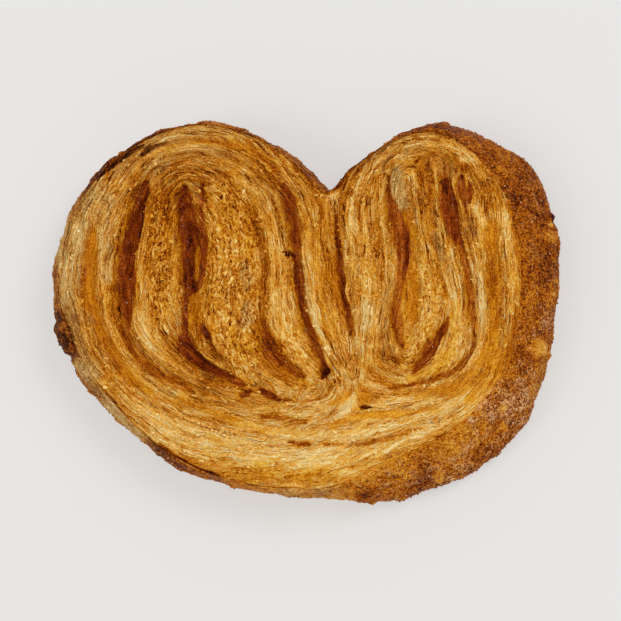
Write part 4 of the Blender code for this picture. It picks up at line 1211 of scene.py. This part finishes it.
def ribbons(path, heights, thickness, lean, ground):
    """Thin upright ribbons along paths, closed at both ends; heights in mm above the ground."""
    count, steps = heights.shape
    along = unit(np.gradient(path, axis=1), 1e-9)
    side = np.stack([-along[..., 1], along[..., 0]], axis=2)
    rows = []
    for edge, share, _ in FLAKE_SECTION:
        rise = heights * share if share > 0 else np.full_like(heights, -FLAKE_ROOT)
        across = edge * thickness[:, None] / 2 + lean * heights * max(share, 0.0) ** 1.6
        rows.append(np.dstack([path + side * across[..., None], ground + rise]))
    width = len(rows)
    index = np.arange(count * steps * width).reshape(count, steps, width)
    turned = np.roll(index, -1, axis=2)
    quads = np.stack([index[:, :-1], index[:, 1:], turned[:, 1:], turned[:, :-1]], axis=-1)
    faces = quads.reshape(-1, 4).tolist()
    faces += index[:, 0].tolist() + index[:, -1, ::-1].tolist()
    return np.stack(rows, axis=2).reshape(-1, 3), faces


def loose_looks(face, width, shade, layered):
    """Looks of small loose bits, each width points wide: its face's, but plainer."""
    looks = {key: np.repeat(face[key], width) for key in FACE_LOOKS}
    looks["tone"] = capped(looks["tone"] + shade)
    looks["layered"] = looks["layered"] * layered
    looks["sponge"] = looks["sponge"] * 0.0
    return looks


def raised_flakes(slice_, layering, bake, material):
    """Edges of single leaves that stand up from the cut face."""
    rng = np.random.default_rng(5)
    seeds = slice_.spots(rng, FLAKE_TRIES)
    face = bake.face(seeds)
    chance = face["layered"] * (0.35 + 0.65 * smoothstep(0.5, 0.75, face["tone"]))
    chance *= 0.35 + 0.65 * smoothstep(-31.0, -22.0, seeds[:, 1])
    seeds = seeds[rng.random(len(seeds)) < chance]
    length = rng.uniform(*FLAKE_LENGTH, len(seeds))
    path = layering.trace(seeds, length / (FLAKE_STEPS - 1), FLAKE_STEPS)
    inside = slice_.inside(path.reshape(-1, 2), CLEAR_OF_RIM).reshape(len(seeds), FLAKE_STEPS)
    path = path[inside.all(axis=1)][:FLAKES]
    count = len(path)
    grain = Grain(61)
    x, y = path[..., 0], path[..., 1]
    own = np.arange(count)[:, None] * 3.7 + np.zeros((1, FLAKE_STEPS))
    wobble = grain(x / 1.1, y / 1.1, own)
    path = path + 0.28 * np.dstack([wobble, grain(x / 1.3, y / 1.3, own + 50)])
    face = bake.face(path.reshape(-1, 2))
    ground = upper_height(face).reshape(count, FLAKE_STEPS)
    layered = face["layered"].reshape(count, FLAKE_STEPS)
    tallest = rng.uniform(*FLAKE_HEIGHT, (count, 1)) * (0.35 + 0.65 * layered)
    share = np.linspace(0.0, 1.0, FLAKE_STEPS)[None]
    heights = tallest * np.sin(math.pi * share) ** 0.6 * (1 + 0.45 * wobble) + 0.02
    lean = rng.normal(0.0, 0.55, (count, 1))
    lean = lean + 0.4 * grain(path[..., 0] / 4, path[..., 1] / 4, own)
    thickness = rng.uniform(*FLAKE_THICKNESS, count)
    points, faces = ribbons(path, heights, thickness, lean, ground)
    # the section's tone changes: painted highlight on each flake's top, painted shade at its root
    painted_light_and_shade = np.array([change for _, _, change in FLAKE_SECTION])
    shade = rng.normal(0.0, 0.07, (count, 1, 1)) + np.zeros((1, FLAKE_STEPS, 1)) + painted_light_and_shade
    looks = loose_looks(face, len(FLAKE_SECTION), shade.ravel(), 0.35)
    return make_mesh("raised_flakes", slice_.place(points), faces, looks, material)


def two_tips(ring):
    """A small closed form: corners in a ring, one tip above them and one below."""
    count = len(ring)
    corners = np.array([(*corner, 0) for corner in ring] + [(0, 0, 1), (0, 0, -1)])
    faces = [(i, (i + 1) % count, count) for i in range(count)]
    faces += [((i + 1) % count, i, count + 1) for i in range(count)]
    return corners, np.array(faces)


CHIP = two_tips([(1, 0), (0.5, 0.87), (-0.5, 0.87), (-1, 0), (-0.5, -0.87), (0.5, -0.87)])
CRYSTAL = two_tips([(1, 0), (0, 1), (-1, 0), (0, -1)])
CRYSTAL_DENTS = 0.15      # unevenness of a crystal, as a share of its size
CRYSTAL_SUNK = 0.04       # mm from the face under a crystal to its middle
UP = (0.0, 0.0, 1.0)


def frames_round(rng, normals, tilt):
    """Axes with the third near each normal, leaning by up to about the given tilt in radians."""
    third = unit(normals + rng.normal(0.0, math.tan(tilt), normals.shape))
    first = rng.normal(0.0, 1.0, normals.shape)
    first = unit(first - third * (first * third).sum(axis=1)[:, None])
    return np.stack([first, np.cross(third, first), third], axis=2)


def scatter(rng, form, centres, normals, tilt, radii, dents):
    """Copies of a small closed form, each with its own place, turn, size and dents."""
    corners, corner_faces = form
    frames = frames_round(rng, np.broadcast_to(normals, centres.shape), tilt)
    dented = corners[None] * (1 + rng.normal(0.0, dents, (len(centres), len(corners), 1)))
    points = centres[:, None] + np.einsum("nij,nvj->nvi", frames, dented * radii[:, None])
    starts = len(corners) * np.arange(len(centres))[:, None, None]
    faces = (corner_faces[None] + starts).reshape(-1, corner_faces.shape[1])
    return points.reshape(-1, 3), faces.tolist()


def chosen(rng, spots, face, chance):
    """The spots that a throw of the dice keeps, with their part of the face."""
    kept = rng.random(len(spots)) < chance
    return spots[kept], {key: values[kept] for key, values in face.items()}


def crumb_flakes(slice_, bake, material):
    """Small chips of leaf lying loose or half stuck on the cut face."""
    rng = np.random.default_rng(9)
    spots = slice_.spots(rng, CHIP_TRIES, CLEAR_OF_RIM)
    face = bake.face(spots)
    chance = 0.10 + 0.45 * face["layered"] + 0.5 * face["sponge"]
    spots, face = chosen(rng, spots, face, chance * (1 - 0.8 * face["gloss"]))
    count = len(spots)
    radii = np.column_stack([rng.uniform(*size, count) for size in CHIP_SIZES])
    centres = np.column_stack([spots, upper_height(face) + rng.uniform(0.0, 0.16, count)])
    points, faces = scatter(rng, CHIP, centres, UP, 0.5, radii, 0.16)
    width = len(CHIP[0])
    looks = loose_looks(face, width, np.repeat(rng.normal(0.06, 0.10, count), width), 0.2)
    return make_mesh("crumb_flakes", slice_.place(points), faces, looks, material, smooth=False)


def crystals(name, slice_, rng, centres, normals, sizes, hue, material):
    """Sugar crystals of one piece; hue gives the colour of each once they have their form."""
    count = len(centres)
    radii = rng.uniform(*sizes, (count, 1)) * rng.uniform(0.7, 1.2, (count, 3))
    points, faces = scatter(rng, CRYSTAL, centres, normals, 1.0, radii, CRYSTAL_DENTS)
    points[:, 2] = np.maximum(points[:, 2], 0.02)
    looks = {"hue": np.repeat(hue(count), len(CRYSTAL[0]))}
    return make_mesh(name, slice_.place(points), faces, looks, material, smooth=False)


def sugar_on_crust(slice_, solid, normal, sugar, material):
    """Sugar crystals baked on to the crust, half sunk in it."""
    rng = np.random.default_rng(13)
    rows, count = sugar.shape
    row, column = rng.integers(0, rows, CRUST_TRIES), rng.integers(0, count, CRUST_TRIES)
    patch = Grain(71)(*solid[row, column].T / 3.0)
    kept = rng.random(len(row)) < sugar[row, column] * (0.28 + 0.45 * patch)
    row, column = row[kept], column[kept]
    normals = normal[row, column]
    return crystals("sugar_grains", slice_, rng, solid[row, column] + normals * CRYSTAL_SUNK,
                    normals, CRUST_CRYSTAL, lambda count: rng.beta(1.6, 2.2, count), material)


def sugar_in_caramel(slice_, bake, material):
    """Half-melted crystals in the caramel of the seams."""
    rng = np.random.default_rng(17)
    spots = slice_.spots(rng, CARAMEL_TRIES)
    face = bake.face(spots)
    spots, face = chosen(rng, spots, face, 0.9 * face["gloss"] ** 2)

    def hue(count):
        melted = 0.10 + 0.9 * (face["tone"] - 0.1) + rng.normal(0.0, 0.10, count)
        return np.where(rng.random(count) < 0.03, 0.9, capped(melted))

    centres = np.column_stack([spots, upper_height(face) + CRYSTAL_SUNK])
    return crystals("caramel_grains", slice_, rng, centres, UP, CARAMEL_GRAIN, hue, material)


# ------------------------------------------------------------------ finishes
def tones(*stops):
    """Stops of a colour ramp: place, then red, green and blue as they are seen (0 to 255)."""
    ramp = []
    for place, *colour in stops:
        shares = [value / 255 for value in colour]
        linear = [v / 12.92 if v <= 0.04045 else ((v + 0.055) / 1.055) ** 2.4 for v in shares]
        ramp.append((place, (*linear, 1.0)))
    return ramp


class Wire:
    """A shader value that can be used in sums; each operation adds a Math node."""

    def __init__(self, finish, socket):
        self.finish = finish
        self.socket = socket

    def maths(self, operation, *terms):
        return self.finish.node("ShaderNodeMath", {"operation": operation}, dict(enumerate(terms)))

    def __add__(self, other): return self.maths("ADD", self, other)
    def __radd__(self, other): return self.maths("ADD", other, self)
    def __sub__(self, other): return self.maths("SUBTRACT", self, other)
    def __rsub__(self, other): return self.maths("SUBTRACT", other, self)
    def __mul__(self, other): return self.maths("MULTIPLY", self, other)
    def __rmul__(self, other): return self.maths("MULTIPLY", other, self)
    def __abs__(self): return self.maths("ABSOLUTE", self)

    def whole(self):
        return self.maths("FLOOR", self)

    def part(self):
        return self.maths("FRACT", self)

    def clamp(self):
        return self.finish.node("ShaderNodeClamp", {}, {"Value": self})


class Finish:
    """A material being mixed, and the few kinds of node that it is mixed from."""

    def __init__(self, name):
        self.material = bpy.data.materials.new(name)
        self.material.use_nodes = True
        self.tree = self.material.node_tree
        self.shader = self.tree.nodes["Principled BSDF"]
        self.spot = self.node("ShaderNodeTexCoord", {}, {}, "Object")

    def node(self, kind, settings, inputs, output=0):
        """One node: its settings, then the values or wires of its sockets."""
        made = self.tree.nodes.new(kind)
        for key, value in settings.items():
            if key == "stops":
                self.set_stops(made.color_ramp, value)
            else:
                setattr(made, key, value)
        for key, value in inputs.items():
            self.feed(made.inputs[key], value)
        return Wire(self, made.outputs[output])

    def set_stops(self, ramp, stops):
        while len(ramp.elements) < len(stops):
            ramp.elements.new(0.5)
        for element, (position, colour) in zip(ramp.elements, stops):
            element.position = position
            element.color = colour

    def feed(self, socket, value):
        if isinstance(value, Wire):
            self.tree.links.new(value.socket, socket)
        else:
            socket.default_value = value

    def set(self, **inputs):
        """Sockets of the shader, by their names in small letters."""
        for key, value in inputs.items():
            label = key.replace("_", " ").title().replace("Ior", "IOR")
            self.feed(self.shader.inputs[label], value)

    def shares(self, *names):
        """Values stored on the mesh's points."""
        return [self.node("ShaderNodeAttribute", {"attribute_name": name}, {}, "Fac")
                for name in names]

    def scaled(self, per_mm):
        """The place on the object, in steps of so many per millimetre."""
        return self.node("ShaderNodeVectorMath", {"operation": "SCALE"},
                         {0: self.spot, "Scale": per_mm / MM})

    def noise(self, per_mm, detail):
        return self.node("ShaderNodeTexNoise", {"noise_dimensions": "3D"},
                         {"Vector": self.scaled(per_mm), "Scale": 1.0, "Detail": detail})

    def drawn_noise(self, along, count, detail):
        """Noise that is long along the layers, and new with each whole step of a count."""
        return self.node("ShaderNodeTexNoise", {"noise_dimensions": "4D"},
                         {"Vector": self.scaled(1.0 / along), "W": count, "Scale": 1.0,
                          "Detail": detail})

    def leaf_noise(self, index, along, start=0.0):
        """Noise that is different for every leaf of dough and changes slowly along it."""
        return self.drawn_noise(along, index * LEAF_STRIDE + start, 1.0)

    def cells(self, per_mm, output):
        return self.node("ShaderNodeTexVoronoi", {"voronoi_dimensions": "3D"},
                         {"Vector": self.scaled(per_mm), "Scale": 1.0}, output)

    def parted(self, colour):
        """Red, green and blue of a colour."""
        red = self.node("ShaderNodeSeparateColor", {}, {"Color": colour})
        return [Wire(self, socket) for socket in red.socket.node.outputs]

    def torn(self, fibre, across, along):
        """Bits of leaf drawn out along the layers: three random shares, each even over a bit."""
        return self.parted(self.node(
            "ShaderNodeTexVoronoi", {"voronoi_dimensions": "4D"},
            {"Vector": self.scaled(1.0 / along), "W": fibre * (1.0 / across), "Scale": 1.0},
            "Color"))

    def between(self, low, high, value):
        """0 at low, 1 at high, eased."""
        return self.node("ShaderNodeMapRange", {"interpolation_type": "SMOOTHSTEP"},
                         {"Value": value, "From Min": low, "From Max": high})

    def crisp(self, value):
        """Noise with most of its in-between values cut away: -0.5 to 0.5."""
        return self.between(0.36, 0.64, value) - 0.5

    def ramp(self, value, stops):
        return self.node("ShaderNodeValToRGB", {"stops": stops}, {"Fac": value})

    def blend(self, share, first, second):
        return self.node("ShaderNodeMix", {"data_type": "RGBA"}, {0: share, 6: first, 7: second}, 2)

    def bump(self, height, distance):
        return self.node("ShaderNodeBump", {}, {"Height": height, "Distance": distance * MM,
                                                "Strength": 1.0})


DOUGH_TONES = tones(
    (0.00, 44, 12, 0), (0.12, 96, 36, 0), (0.25, 142, 68, 2), (0.38, 181, 98, 10),
    (0.50, 208, 130, 29), (0.62, 226, 158, 57), (0.75, 241, 185, 88), (0.88, 249, 208, 122),
    (1.00, 253, 228, 164))
AMBER_TONES = tones(
    (0.00, 60, 16, 0), (0.20, 130, 54, 0), (0.45, 194, 112, 8), (0.70, 230, 158, 34),
    (1.00, 246, 200, 88))
CARAMEL_TONES = tones(
    (0.00, 42, 6, 0), (0.12, 98, 32, 0), (0.28, 146, 62, 8), (0.45, 190, 104, 24),
    (0.70, 224, 156, 76), (1.00, 248, 214, 160))
DULL_TONES = tones(
    (0.00, 44, 26, 8), (0.30, 122, 90, 42), (0.60, 186, 154, 94), (1.00, 240, 220, 172))
CRUST_TONES = tones(
    (0.00, 34, 8, 0), (0.14, 92, 32, 0), (0.28, 144, 66, 4), (0.42, 188, 102, 12),
    (0.55, 214, 134, 26), (0.72, 234, 168, 60), (1.00, 248, 208, 130))
# pale pink of the sugar frost on the crust, which also carries a painted sheen
PINK_TONES = tones(
    (0.00, 60, 18, 4), (0.28, 152, 78, 30), (0.50, 212, 136, 80), (0.75, 238, 184, 136),
    (1.00, 252, 226, 198))
SUGAR_TONES = tones(
    (0.00, 70, 20, 2), (0.30, 140, 64, 14), (0.60, 200, 124, 56), (0.85, 232, 176, 124),
    (1.00, 250, 222, 194))
ALMOST_MATT = 0.03        # how little the baked dough reflects
SUGAR_SHINE = 0.2         # melted sugar reflects more


def leaf_edges(finish, count, start):
    """For a running count of leaves: own level, upper edge with a painted highlight, gap beside it
    with painted shade.
    """
    index, across = count.whole(), count.part()
    own = finish.leaf_noise(index, 8.0, start) - 0.5
    # which stretches of the upper edge get the painted highlight
    lit = finish.between(0.46, 0.58, finish.leaf_noise(index, 3.4, start + 40.0))
    edge = finish.between(0.60, 0.72, across) * (1.0 - finish.between(0.88, 0.97, across)) * lit
    torn_open = finish.between(0.48, 0.60, finish.leaf_noise(index, 4.2, start + 80.0))
    gap = (1.0 - finish.between(0.08, 0.22, across)) * torn_open
    return own, edge, gap


def layered_finish():
    finish = Finish("baked_layers")
    leaf, layered, tone, amber, sponge, dull, gloss, fibre = finish.shares(
        "leaf", "layered", "tone", "amber", "sponge", "grey", "gloss", "fibre")
    wobble = (finish.noise(0.42, 1.0) - 0.5) + (finish.noise(1.05, 0.0) - 0.5) * 0.45
    leaf = leaf + wobble * 0.6
    fibre = fibre + wobble
    own, edge, gap = leaf_edges(finish, leaf, 0.0)
    film = leaf * 2.3 + finish.noise(0.16, 1.0) * 2.0
    film_own, film_edge, film_gap = leaf_edges(finish, film, 13.0)
    torn = finish.torn(fibre, 0.8, 3.6)
    shred = finish.torn(fibre, 0.40, 1.7)
    fleck = finish.torn(fibre, 0.40, 0.95)
    curls = finish.crisp(finish.drawn_noise(0.75, fibre * (1.0 / 0.36), 0.0))
    grain = finish.crisp(finish.noise(2.6, 1.0))
    cloud = finish.noise(0.11, 2.0)

    # edge and film_edge paint highlights along the leaves' upper edges; gap and film_gap paint
    # shade in the gaps beside them (the same masks also feed the bump)
    fine = own * 0.46 + film_own * 0.36 + edge * 0.18 - gap * 0.20
    fine = fine + film_edge * 0.15 - film_gap * 0.17
    fine = fine + (torn[0] - 0.5) * 0.11 + (shred[0] - 0.5) * 0.18
    crumb = (fleck[0] - 0.5) * 0.42 + (shred[1] - 0.5) * 0.20 + curls * 0.13 + 0.02
    fine = (fine + curls * 0.06) * (layered * 0.7 + 0.3) + crumb * sponge
    streaks = (own * 0.5 + film_own * 0.4 + (cloud - 0.5) * 0.4) * gloss * 0.36
    fine = fine * 1.2 + streaks + grain * (0.17 - gloss * 0.03)
    level = (tone + fine + (cloud - 0.5) * 0.10).clamp()

    colour = finish.ramp(level, DOUGH_TONES)
    orange = finish.between(0.45, 0.95, torn[1]) * 0.55
    colour = finish.blend((amber + orange).clamp(), colour, finish.ramp(level, AMBER_TONES))
    faded = finish.between(0.62, 1.0, torn[2]) * 0.34 * layered
    # the grey share dulls the colour; along the left rim this grey is painted shade
    colour = finish.blend((dull * 0.62 + faded).clamp(), colour, finish.ramp(level, DULL_TONES))
    boiled = finish.between(0.40, 0.90, gloss)
    colour = finish.blend(boiled, colour, finish.ramp(level, CARAMEL_TONES))
    relief = (edge * 0.8 - gap * 0.9 + film_edge * 0.4 - film_gap * 0.4 + torn[0] * 0.5) * layered
    relief = relief + shred[0] * 0.5 * (layered + sponge) + fleck[0] * sponge
    relief = relief + grain * (0.4 - gloss * 0.1) + curls * 0.2
    spark = finish.parted(finish.cells(2.6, "Color"))[0]
    glint = finish.between(0.93, 0.97, spark) * (gloss * 0.5 + 0.04)
    finish.set(base_color=colour, normal=finish.bump(relief, 0.21),
               roughness=(0.58 - gloss * 0.26 + grain * 0.15).clamp(),
               coat_weight=glint.clamp(), coat_roughness=0.15, specular_ior_level=ALMOST_MATT)
    return finish.material


def crust_finish():
    finish = Finish("sugared_crust")
    toast, dull, sugar = finish.shares("toast", "dull", "sugar")
    blotch = finish.crisp(finish.noise(0.75, 1.0))
    grain = finish.crisp(finish.noise(1.6, 0.0))
    grit = finish.crisp(finish.noise(3.0, 0.0))
    cloud = finish.noise(0.24, 3.0)
    own = finish.parted(finish.cells(1.7, "Color"))[0]
    granule = (1.0 - finish.between(0.18, 0.46, finish.cells(1.7, "Distance"))) * sugar
    heavy = finish.between(0.6, 1.0, sugar)
    level = toast + blotch * 0.11 + grain * (0.16 + heavy * 0.12) + (cloud - 0.5) * 0.22
    level = level + grit * (0.18 + heavy * 0.18) + sugar * 0.02
    # the granules' light specks: partly the sugar's own whiteness, partly painted glints
    level = (level + granule * (own - 0.35) * (0.50 + heavy * 0.65)).clamp()
    colour = finish.ramp(level, CRUST_TONES)
    colour = finish.blend(dull * 0.8, colour, finish.ramp(level, DULL_TONES))
    melted = finish.between(0.42, 0.62, finish.noise(0.5, 2.0))
    # pale pink frost on the sugary crust: partly the sugar's own colour, partly a painted sheen
    frost_and_sheen = granule * finish.between(0.45, 0.8, own) * (melted * 0.6 + 0.4)
    frost_and_sheen = (frost_and_sheen * 0.9 + heavy * 0.5).clamp()
    colour = finish.blend(frost_and_sheen, colour, finish.ramp(level + 0.03, PINK_TONES))
    relief = blotch * 0.5 + grain * 0.6 + grit * 0.5 + granule * 1.2
    glint = finish.between(0.90, 0.94, own) * granule
    finish.set(base_color=colour, normal=finish.bump(relief, 0.24),
               roughness=(0.55 - granule * 0.15 + grit * 0.2).clamp(),
               coat_weight=(glint * 0.6).clamp(), coat_roughness=0.2,
               specular_ior_level=ALMOST_MATT)
    return finish.material


def sugar_finish():
    finish = Finish("melted_sugar")
    hue, = finish.shares("hue")
    cloudy = finish.noise(5.0, 1.0)
    finish.set(base_color=finish.ramp((hue + (cloudy - 0.5) * 0.2).clamp(), SUGAR_TONES),
               roughness=0.28 + cloudy * 0.2, specular_ior_level=SUGAR_SHINE)
    return finish.material


# ------------------------------------------------------------------ stage, light and camera
FLOOR_HALF = 3.0
FLOOR_GAP = 0.0001                    # the floor lies this far under the slice
FLOOR_COLOUR = tones((0.0, 232, 231, 229))[0][1]
FLOOR_GLOW = 0.6                      # share of the floor's brightness that is its own
FLOOR_LEVEL = 0.97                    # brightness of a full reflector under these lights
SKY_COLOUR = (1.0, 0.99, 0.98, 1.0)
SKY_STRENGTH = 0.66
LIGHTS = (                            # name, place, width in metres, power in watts
    ("right_window", (1.5, 0.8, 2.2), 1.2, 24.0),
    ("left_fill", (-1.6, -0.7, 2.2), 1.4, 13.0),
)
VIEW_TILT = math.radians(14.0)        # the camera leans this far from straight above,
VIEW_SIDE = math.radians(-25.0)       # towards this side of the slice
LENS = 180.0
FRAME_WIDTH = 0.14675                 # width of the view at the upper face, metres
AIM = (0.0053, -0.0015)               # middle of the view, from the middle of the slice
NEAREST, FURTHEST = 0.01, 20.0        # metres that the camera sees


def floor_finish():
    """A pale table lit from below: a share of its brightness comes from itself."""
    finish = Finish("pale_floor")
    finish.set(base_color=tuple((1 - FLOOR_GLOW) * part for part in FLOOR_COLOUR[:3]) + (1.0,),
               roughness=0.9, emission_color=FLOOR_COLOUR,
               emission_strength=FLOOR_GLOW * FLOOR_LEVEL)
    return finish.material


def set_stage():
    half = FLOOR_HALF
    corners = [(-half, -half, 0.0), (half, -half, 0.0), (half, half, 0.0), (-half, half, 0.0)]
    mesh = bpy.data.meshes.new("floor")
    mesh.from_pydata(corners, [], [(0, 1, 2, 3)])
    mesh.materials.append(floor_finish())
    floor = bpy.data.objects.new("floor", mesh)
    floor.location.z = cad_low.z - FLOOR_GAP
    bpy.context.scene.collection.objects.link(floor)


def set_light():
    world = bpy.data.worlds.new("studio")
    bpy.context.scene.world = world
    world.use_nodes = True
    sky = world.node_tree.nodes["Background"]
    sky.inputs["Color"].default_value = SKY_COLOUR
    sky.inputs["Strength"].default_value = SKY_STRENGTH
    for name, place, width, power in LIGHTS:
        light = bpy.data.lights.new(name, "AREA")
        light.shape = "DISK"
        light.size = width
        light.energy = power
        lamp = bpy.data.objects.new(name, light)
        lamp.location = place
        lamp.rotation_mode = "QUATERNION"
        lamp.rotation_quaternion = Vector(place).to_track_quat("Z", "Y")
        bpy.context.scene.collection.objects.link(lamp)
    settings = bpy.context.scene.view_settings
    settings.view_transform = "Standard"
    settings.look = "None"


def set_camera():
    back = Vector((math.sin(VIEW_TILT) * math.cos(VIEW_SIDE),
                   math.sin(VIEW_TILT) * math.sin(VIEW_SIDE), math.cos(VIEW_TILT)))
    right = (Vector((1, 0, 0)) - back * back.x).normalized()
    up = back.cross(right)
    camera = bpy.data.objects.new("camera", bpy.data.cameras.new("camera"))
    camera.data.lens = LENS
    distance = FRAME_WIDTH / 2 * LENS / (camera.data.sensor_width / 2)
    middle = (cad_low + cad_high) / 2
    target = Vector((middle.x, middle.y, cad_high.z)) + right * AIM[0] + up * AIM[1]
    turn = Matrix((right, up, back)).transposed()
    camera.matrix_world = Matrix.Translation(target + back * distance) @ turn.to_4x4()
    camera.data.clip_start, camera.data.clip_end = NEAREST, FURTHEST
    bpy.context.scene.collection.objects.link(camera)
    bpy.context.scene.camera = camera


# ------------------------------------------------------------------ putting it together
set_stage()
set_light()
set_camera()
the_slice = Slice()
layering = Layering(the_slice.rim)
bake = Bake(layering, the_slice.rim)
layers_material, sugar_material = layered_finish(), sugar_finish()
hand_in(layered_faces(the_slice, bake, layers_material), stands_for=True)
crust_piece, crust_points, crust_normals, sugar_share = crust(the_slice, bake, crust_finish())
hand_in(crust_piece)
hand_in(raised_flakes(the_slice, layering, bake, layers_material))
hand_in(crumb_flakes(the_slice, bake, layers_material))
hand_in(sugar_on_crust(the_slice, crust_points, crust_normals, sugar_share, sugar_material))
hand_in(sugar_in_caramel(the_slice, bake, sugar_material))
